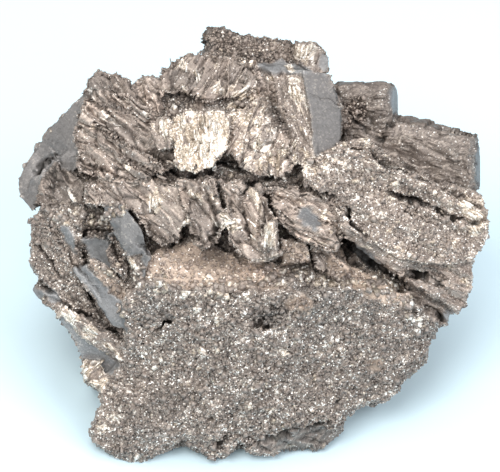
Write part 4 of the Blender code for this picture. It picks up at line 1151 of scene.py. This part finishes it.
        # The top stop of the sugar, crust and cleavage ramps is a painted highlight.
        stops = {
            "sugary": (
                (0.10, self.pit_and_shade), (0.23, self.shade), (0.44, "867B71"), (0.76, "9E9287"), (0.86, self.pale),
                (0.92, self.painted_highlight),
            ),
            "crust": ((0.2, "2E2925"), (0.6, "6B6159"), (0.9, "A89C90"), (0.97, self.painted_highlight)),
            "dusty": ((0.2, "7F7063"), (0.34, "9A8B7C"), (0.66, self.dust), (0.8, self.pale)),
            "satin": ((0.14, "6A6866"), (0.26, "7C7B79"), (0.70, self.satin), (0.80, "A5A19B")),
            "bladed": ((0.18, self.shade), (0.36, "8D8278"), (0.62, "A3968B"), (0.84, self.pale)),
            "matte": (
                (0.24, "5D5550"), (0.38, "867B73"), (0.54, "9B8F85"), (0.68, "AEA296"), (0.78, self.pale),
            ),
            "cleaved": ((0.22, "877B6C"), (0.38, "AFA18F"), (0.52, "D9CDBC"), (0.68, self.painted_highlight)),
        }
        dyes = {name: add("ValToRGB", {0: tones[name]}, stops[name])[0] for name in stops}
        # Where fresh cleavage lies, painted cream white as a painted highlight: more of it where the skin is
        # said to be bright.
        fresh = add("Mix", {0: 0.5, 2: marks["clump 1"], 3: marks["blade 1"]})[0]
        fresh = add("Mix", {0: 0.4, 2: fresh, 3: marks["cloud"]})[0]
        fresh = add("Math", {0: fresh, 1: marks["bright"]}, operation="ADD")[0]
        fresh = add("MapRange", {"Value": fresh, "From Min": 0.82, "From Max": 0.98})[0]
        # Painted glints: single grains painted cream white as highlights, most of them in the sugar and none on
        # the satin faces.
        painted_glints = add("Math", {0: marks["sugary"], 1: 0.045, 2: marks["glint 0"]}, operation="MULTIPLY_ADD")[0]
        painted_glints = add("MapRange", {"Value": painted_glints, "From Min": 0.98, "From Max": 1.0})[0]
        uneven = add("MapRange", {"Value": marks["satin"], "To Min": 1.0, "To Max": 0.0})[0]
        painted_glints = add("Math", {0: painted_glints, 1: uneven}, operation="MULTIPLY")[0]
        colour = dyes["bladed"]
        layers = [(self.matte_share, dyes["matte"])]
        layers += [(marks[name], dyes[name]) for name in ("sugary", "crust", "dusty", "satin")]
        # The last layer is painted shade: the dark of seams, gap walls and furrows, in the pit colour.
        layers += [(fresh, dyes["cleaved"]), (painted_glints, linear(self.painted_highlight)), (marks["dark"], linear(self.pit_and_shade))]
        for share, dye in layers:
            colour = add("Mix", {0: share, 6: colour, 7: dye}, data_type="RGBA")[2]
        # Low warmth tints blue grey: the mineral's own cool tone, and on the smooth faces partly a painted
        # reflection of the pale blue floor.
        warmth = add("Mix", {0: 0.35, 2: marks["warmth"], 3: marks["cloud"]})[0]
        tint = add("Mix", {0: warmth, 4: self.cool_and_reflected_tint, 5: self.warm_tint}, data_type="VECTOR")[1]
        colour = add("VectorMath", {0: colour, 1: tint}, operation="MULTIPLY")[0]
        clouding = add("MapRange", {"Value": marks["cloud"], "To Min": 0.66, "To Max": 1.34})[0]
        for lightness in (clouding, marks["tone"]):
            colour = add("VectorMath", {0: colour, "Scale": lightness}, operation="SCALE")[0]
        return colour

    def normal(self, add: Adder, marks: dict[str, Socket]) -> Socket:
        """Tilts each grain and blade its own way, and cuts the fine striae.

        Args:
            add: Adds a node to the material.
            marks: The stored values and the patterns.

        Returns:
            The surface's direction.
        """
        grainy = add("Math", {0: marks["sugary"], 1: marks["crust"]}, operation="ADD")[0]
        grainy = add("Math", {0: grainy, 1: marks["chip"]}, operation="ADD", use_clamp=True)[0]
        luck = add("Mix", {0: grainy, 6: marks["blade"], 7: marks["speck"]}, data_type="RGBA")[2]
        tilt = add("VectorMath", {0: luck, 1: (0.5, 0.5, 0.5)}, operation="SUBTRACT")[0]
        strength = add("MapRange", {"Value": grainy, "To Min": 0.22, "To Max": 0.5})[0]
        calm = add("Math", {0: marks["satin"], 1: -0.95, 2: 1.0}, operation="MULTIPLY_ADD")[0]
        strength = add("Math", {0: strength, 1: calm}, operation="MULTIPLY")[0]
        tilt = add("VectorMath", {0: tilt, "Scale": strength}, operation="SCALE")[0]
        true = add("NewGeometry")["Normal"]
        leaning = add("VectorMath", {0: true, 1: tilt}, operation="ADD")[0]
        leaning = add("VectorMath", {0: leaning}, operation="NORMALIZE")[0]
        strength = add("MapRange", {"Value": grainy, "To Min": 0.55, "To Max": 0.1})[0]
        cuts = {"Height": marks["striae"], "Normal": leaning, "Distance": 0.06 * MM, "Strength": strength}
        return add("Bump", cuts)[0]


@dataclass
class Chips:
    """Many small solids, gathered into one mesh from arrays."""

    corners: list[Array] = field(default_factory=list)
    values: dict[str, list[Array]] = field(default_factory=dict)

    def add(
        self,
        places: Array,
        frames: Array,
        sizes: Array,
        bright: Array,
        ground: tuple[Array, Array],
        rng: np.random.Generator,
        point: float,
    ) -> None:
        """Adds one jittered six-sided block at each place.

        Args:
            places: The blocks' middles, one row each.
            frames: For each block, its length, width and height directions, one row each.
            sizes: For each block, its length, width and height.
            bright: How bright each block is.
            ground: The tone and the warmth of the ground that each block stands on.
            rng: Where chance comes from.
            point: How far the blocks' ends may draw in, from 0 to 1.
        """
        cube = np.array(list(np.ndindex(2, 2, 2))) - 0.5
        total = len(places)
        shape = cube[None] * (1 + rng.uniform(-0.25, 0.25, (total, 8, 3)))
        draw_in = 1 - point * rng.uniform(0, 1, (total, 2))
        shape[:, :, 1] *= np.where(shape[:, :, 0] < 0, draw_in[:, :1], draw_in[:, 1:])
        world = np.einsum("nki,nij->nkj", shape * sizes[:, None, :], frames) + places[:, None, :]
        self.corners.append(world.reshape(-1, 3))
        values = {
            "bright": bright,
            "tone": ground[0] * rng.uniform(0.88, 1.12, total),
            "warmth": ground[1],
            "chip": np.ones(total),
            "grain": rng.uniform(-500, 500, (total, 3)),
        }
        for name, value in values.items():
            self.values.setdefault(name, []).append(np.repeat(value, 8, axis=0))

    def build(self, name: str, material: bpy.types.Material) -> None:
        """Makes the piece.

        Args:
            name: The piece's name.
            material: Its material.
        """
        corners = np.concatenate(self.corners)
        corners[:, 2] = np.maximum(corners[:, 2], 0.02)
        quads = np.array(((0, 1, 3, 2), (4, 6, 7, 5), (0, 4, 5, 1), (2, 3, 7, 6), (0, 2, 6, 4), (1, 5, 7, 3)))
        faces = (quads[None] + np.arange(0, len(corners), 8)[:, None, None]).reshape(-1, 4)
        mesh = bpy.data.meshes.new(name)
        mesh.vertices.add(len(corners))
        mesh.vertices.foreach_set("co", (corners * MM).astype(np.float32).ravel())
        mesh.loops.add(len(faces) * 4)
        mesh.loops.foreach_set("vertex_index", faces.astype(np.int32).ravel())
        mesh.polygons.add(len(faces))
        mesh.polygons.foreach_set("loop_start", np.arange(len(faces), dtype=np.int32) * 4)
        mesh.update()
        for title, rows in self.values.items():
            store(mesh, title, np.concatenate(rows))
        mesh.materials.append(material)
        piece = add_object(name, mesh)
        only(piece)
        bpy.ops.object.mode_set(mode="EDIT")
        bpy.ops.mesh.select_all(action="SELECT")
        bpy.ops.mesh.normals_make_consistent(inside=False)
        bpy.ops.object.mode_set(mode="OBJECT")
        finish_piece(piece)


@dataclass
class Sprinkle:
    """The loose grains, blades and bright splinters that stand on the skin."""

    face: ShowFace
    skins: list[Skin]
    material: bpy.types.Material
    grain_count: int = 11000
    lip_count: int = 420
    blade_count: int = 450
    rim_share: float = 0.12
    seed: int = 20

    def build(self) -> None:
        """Builds all three pieces."""
        rng = np.random.default_rng(self.seed)
        self.grains(rng)
        self.blades(rng)
        self.splinters(rng)

    def pick(
        self, rng: np.random.Generator, habits: tuple[Habit, ...], count: int, along: tuple[Seam, ...] = ()
    ) -> tuple[Skin, Array]:
        """Picks random points of the skin that have grown in one of the given ways.

        Args:
            rng: Where chance comes from.
            habits: The habits wanted.
            count: How many points.
            along: Lines on the show face that the points are to lie along, if any.

        Returns:
            One skin that joins all chunks, and the rows of the points in it.
        """
        columns = [[getattr(skin, part.name) for skin in self.skins] for part in fields(Skin)]
        joined = Skin(*(np.concatenate(column) for column in columns))
        wanted = np.clip(sum(joined.weights[:, habit] for habit in habits) - 0.3, 0, 1)
        # A finer mesh has more points to pick from, so each of them counts for less.
        steps = [np.diff(skin.places[:4000], axis=0) for skin in self.skins]
        pitches = [np.median(np.linalg.norm(step, axis=1)) for step in steps]
        spacing = np.repeat(pitches, [len(skin.places) for skin in self.skins])
        # No grain lies in a dark gap or at the very foot, and few on the rims, which stay clean.
        odds = wanted * spacing**2 * (joined.dark < 0.35) * (joined.places[:, 2] > 0.6)
        facing = joined.normals @ self.face.axes()[2]
        odds *= np.where(np.abs(facing) < 0.4, self.rim_share, 1.0)
        if along:
            local = self.face.read(joined.places)
            near = np.max([line.nearness(local[:, 0], local[:, 1])[0] for line in along], axis=0)
            odds *= near * (local[:, 2] > 0) * (facing > 0.1)
        return joined, rng.choice(len(odds), size=count, replace=False, p=odds / odds.sum())

    def grains(self, rng: np.random.Generator) -> None:
        """Loose sugary grains, a few tenths of a millimetre across, and larger ones on the lips."""
        chips = Chips()
        skin, rows = self.pick(rng, (SUGARY, CRUST, DUSTY), self.grain_count)
        count = len(rows)
        frames = np.linalg.qr(rng.normal(size=(count, 3, 3)))[0]
        size = 0.22 + 0.22 * rng.power(1.0, count) + 0.45 * (rng.random(count) < 0.05)
        sizes = size[:, None] * rng.uniform(0.7, 1.25, (count, 3))
        # One grain in fourteen is painted cream white, as a painted glint.
        bright = np.where(rng.random(count) < 0.07, 0.9, 0.0)
        places = skin.places[rows] + skin.normals[rows] * 0.06
        chips.add(places, frames, sizes, bright, (skin.tone[rows], skin.warmth[rows]), rng, 0.3)
        skin, rows = self.pick(rng, tuple(Habit), self.lip_count, GRAINY_LINES)
        count = len(rows)
        frames = np.linalg.qr(rng.normal(size=(count, 3, 3)))[0]
        sizes = (0.45 + 0.75 * rng.power(0.8, count))[:, None] * rng.uniform(0.6, 1.2, (count, 3))
        # Nearly half the grains on the lips are painted bright, as painted highlights.
        bright = np.where(rng.random(count) < 0.45, 0.75, 0.05)
        ground = (np.ones(count), rng.uniform(0.1, 0.6, count))
        chips.add(skin.places[rows], frames, sizes, bright, ground, rng, 0.4)
        chips.build("sugary_grains", self.material)

    def blades(self, rng: np.random.Generator) -> None:
        """Slender blades that lie along the grain, half sunk in the skin."""
        skin, rows = self.pick(rng, (BLADED, CLEAVED), self.blade_count)
        count = len(rows)
        height = skin.normals[rows]
        along = skin.along[rows] + 0.10 * rng.normal(size=(count, 3))
        along -= (along * height).sum(1, keepdims=True) * height
        along /= np.linalg.norm(along, axis=1, keepdims=True) + 1e-9
        height = height + 0.25 * rng.normal(size=(count, 3))
        height -= (along * height).sum(1, keepdims=True) * along
        height /= np.linalg.norm(height, axis=1, keepdims=True)
        frames = np.stack((along, np.cross(height, along), height), axis=1)
        sizes = np.stack([rng.uniform(*span, count) for span in ((0.8, 2.2), (0.3, 0.7), (0.2, 0.4))], axis=1)
        bright = np.clip(skin.bright[rows] * 1.2, 0, 0.8) * (rng.random(count) < 0.5)
        places = skin.places[rows] - skin.normals[rows] * 0.04
        chips = Chips()
        chips.add(places, frames, sizes, bright, (skin.tone[rows], skin.warmth[rows]), rng, 0.7)
        chips.build("slender_blades", self.material)

    def splinters(self, rng: np.random.Generator) -> None:
        """The bright cleavage crystals that catch the eye, each a few laths side by side, painted cream white
        as painted highlights.
        """
        chips = Chips()
        fronts = [self.face.read(skin.places) for skin in self.skins]
        axes = self.face.axes()
        for crystal in BRIGHT_CRYSTALS:
            place, normal = self.nearest_front(fronts, crystal.across, crystal.up)
            many = max(3, round(crystal.width * crystal.length / 0.55))
            turn = np.radians(crystal.turn_deg + rng.normal(0, 7, many))
            along = np.stack((np.cos(turn), np.sin(turn), np.zeros(many)), axis=1) @ axes
            height = normal + 0.8 * axes[2] + rng.normal(0, 0.22, (many, 3))
            height -= (height * along).sum(1, keepdims=True) * along
            height /= np.linalg.norm(height, axis=1, keepdims=True)
            side = np.cross(height, along)
            over, ahead = rng.uniform(-0.5, 0.5, (2, many, 1))
            places = place + side * over * crystal.width + along * ahead * crystal.length * 0.6
            places += height * rng.uniform(-0.1, 0.15, (many, 1))
            frames = np.stack((along, side, height), axis=1)
            lengths = np.minimum(crystal.length * rng.uniform(0.3, 0.7, many), 1.9)
            sizes = np.stack((lengths, rng.uniform(0.28, 0.55, many), rng.uniform(0.4, 0.7, many)), axis=1)
            chips.add(places, frames, sizes, np.ones(many), (np.ones(many), np.full(many, 0.6)), rng, 0.6)
        chips.build("cleavage_splinters", self.material)

    def nearest_front(self, fronts: list[Array], across: float, up: float) -> tuple[Array, Array]:
        """The point of the skin that is seen at a place of the show face.

        Args:
            fronts: Every skin's points, read in the show face's frame.
            across: The place, across.
            up: The place, up.

        Returns:
            The point and the outward direction there.
        """
        best = (-1e9, np.zeros(3), self.face.axes()[2])
        for skin, local in zip(self.skins, fronts):
            rows = np.flatnonzero(np.hypot(local[:, 0] - across, local[:, 1] - up) < 0.35)
            if not len(rows):
                continue
            row = rows[np.argmax(local[rows, 2])]
            if local[row, 2] > best[0]:
                near = rows[local[rows, 2] > local[row, 2] - 1.0]
                best = (local[row, 2], skin.places[row], skin.normals[near].mean(axis=0))
        return best[1], best[2] / max(np.linalg.norm(best[2]), 1e-6)


@dataclass(frozen=True)
class FloorFinish:
    """Matt paper-coated board under the specimen: pale, plain, with no shine."""

    colour: str = "CFE4EE"
    roughness: float = 0.9

    def material(self) -> bpy.types.Material:
        """Builds the floor's material."""
        made = bpy.data.materials.new("matt pale board")
        made.use_nodes = True
        shader = made.node_tree.nodes["Principled BSDF"]
        shader.inputs["Base Color"].default_value = linear(self.colour)
        shader.inputs["Roughness"].default_value = self.roughness
        return made


@dataclass
class Studio:
    """The floor, the soft lights and the camera."""

    face: ShowFace
    camera_distance: float = 474.0
    lens: float = 200.0
    sensor: float = 36.0
    floor_size_m: float = 6.0
    sky_strength: float = 0.55

    def build(self) -> None:
        """Sets the scene around the specimen."""
        self.floor()
        self.world()
        self.light("key", (-0.20, -0.34, 0.62), 0.45, 4.5, "FFFDF8")
        self.light("fill", (0.42, -0.34, 0.42), 0.5, 2.8, "FBFCFF")
        self.light("top", (0.02, 0.25, 0.75), 0.5, 2.2, "FFFFFF")
        self.camera()
        bpy.context.scene.view_settings.view_transform = "Standard"

    def floor(self) -> None:
        """A wide plain board, just under the specimen."""
        bpy.ops.object.select_all(action="DESELECT")
        bpy.ops.mesh.primitive_plane_add(size=self.floor_size_m, location=(0, 0, 0))
        board = bpy.context.active_object
        board.name = "board"
        board.data.materials.append(FloorFinish().material())

    def world(self) -> None:
        """Even, slightly cool light from all round."""
        world = bpy.data.worlds.new("soft room")
        bpy.context.scene.world = world
        world.use_nodes = True
        sky = world.node_tree.nodes["Background"]
        sky.inputs["Color"].default_value = linear("F4F8FA")
        sky.inputs["Strength"].default_value = self.sky_strength

    def light(self, name: str, place: Triple, size: float, power: float, tint: str) -> None:
        """Adds one square soft light that faces the specimen.

        Args:
            name: The light's name.
            place: Where it hangs, in metres.
            size: Its side, in metres.
            power: Its power, in watts.
            tint: Its colour.
        """
        lamp = bpy.data.lights.new(name, "AREA")
        lamp.size = size
        lamp.energy = power
        lamp.color = linear(tint)[:3]
        holder = add_object(name, lamp)
        holder.location = place
        aim = Vector(self.face.middle) * MM - Vector(place)
        holder.rotation_euler = aim.to_track_quat("-Z", "Y").to_euler()

    def camera(self) -> None:
        """Looks straight at the show face from a little way off."""
        lens = bpy.data.cameras.new("camera")
        lens.lens = self.lens
        lens.sensor_width = self.sensor
        lens.clip_start = 0.01
        holder = add_object("camera", lens)
        toward = Vector(self.face.axes()[2])
        holder.location = (Vector(self.face.middle) + toward * self.camera_distance) * MM
        holder.rotation_euler = toward.to_track_quat("Z", "Y").to_euler()
        bpy.context.scene.camera = holder


def main() -> None:
    """Dresses the specimen and sets the scene."""
    logging.basicConfig(level=logging.INFO, format="%(name)s %(message)s")
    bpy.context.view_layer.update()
    face = ShowFace()
    material = ManganiteFinish().material()
    body = Body(face, Surveyor(face), material)
    body.build()
    Sprinkle(face, body.skins, material).build()
    Studio(face).build()


if __name__ == "__main__":
    main()
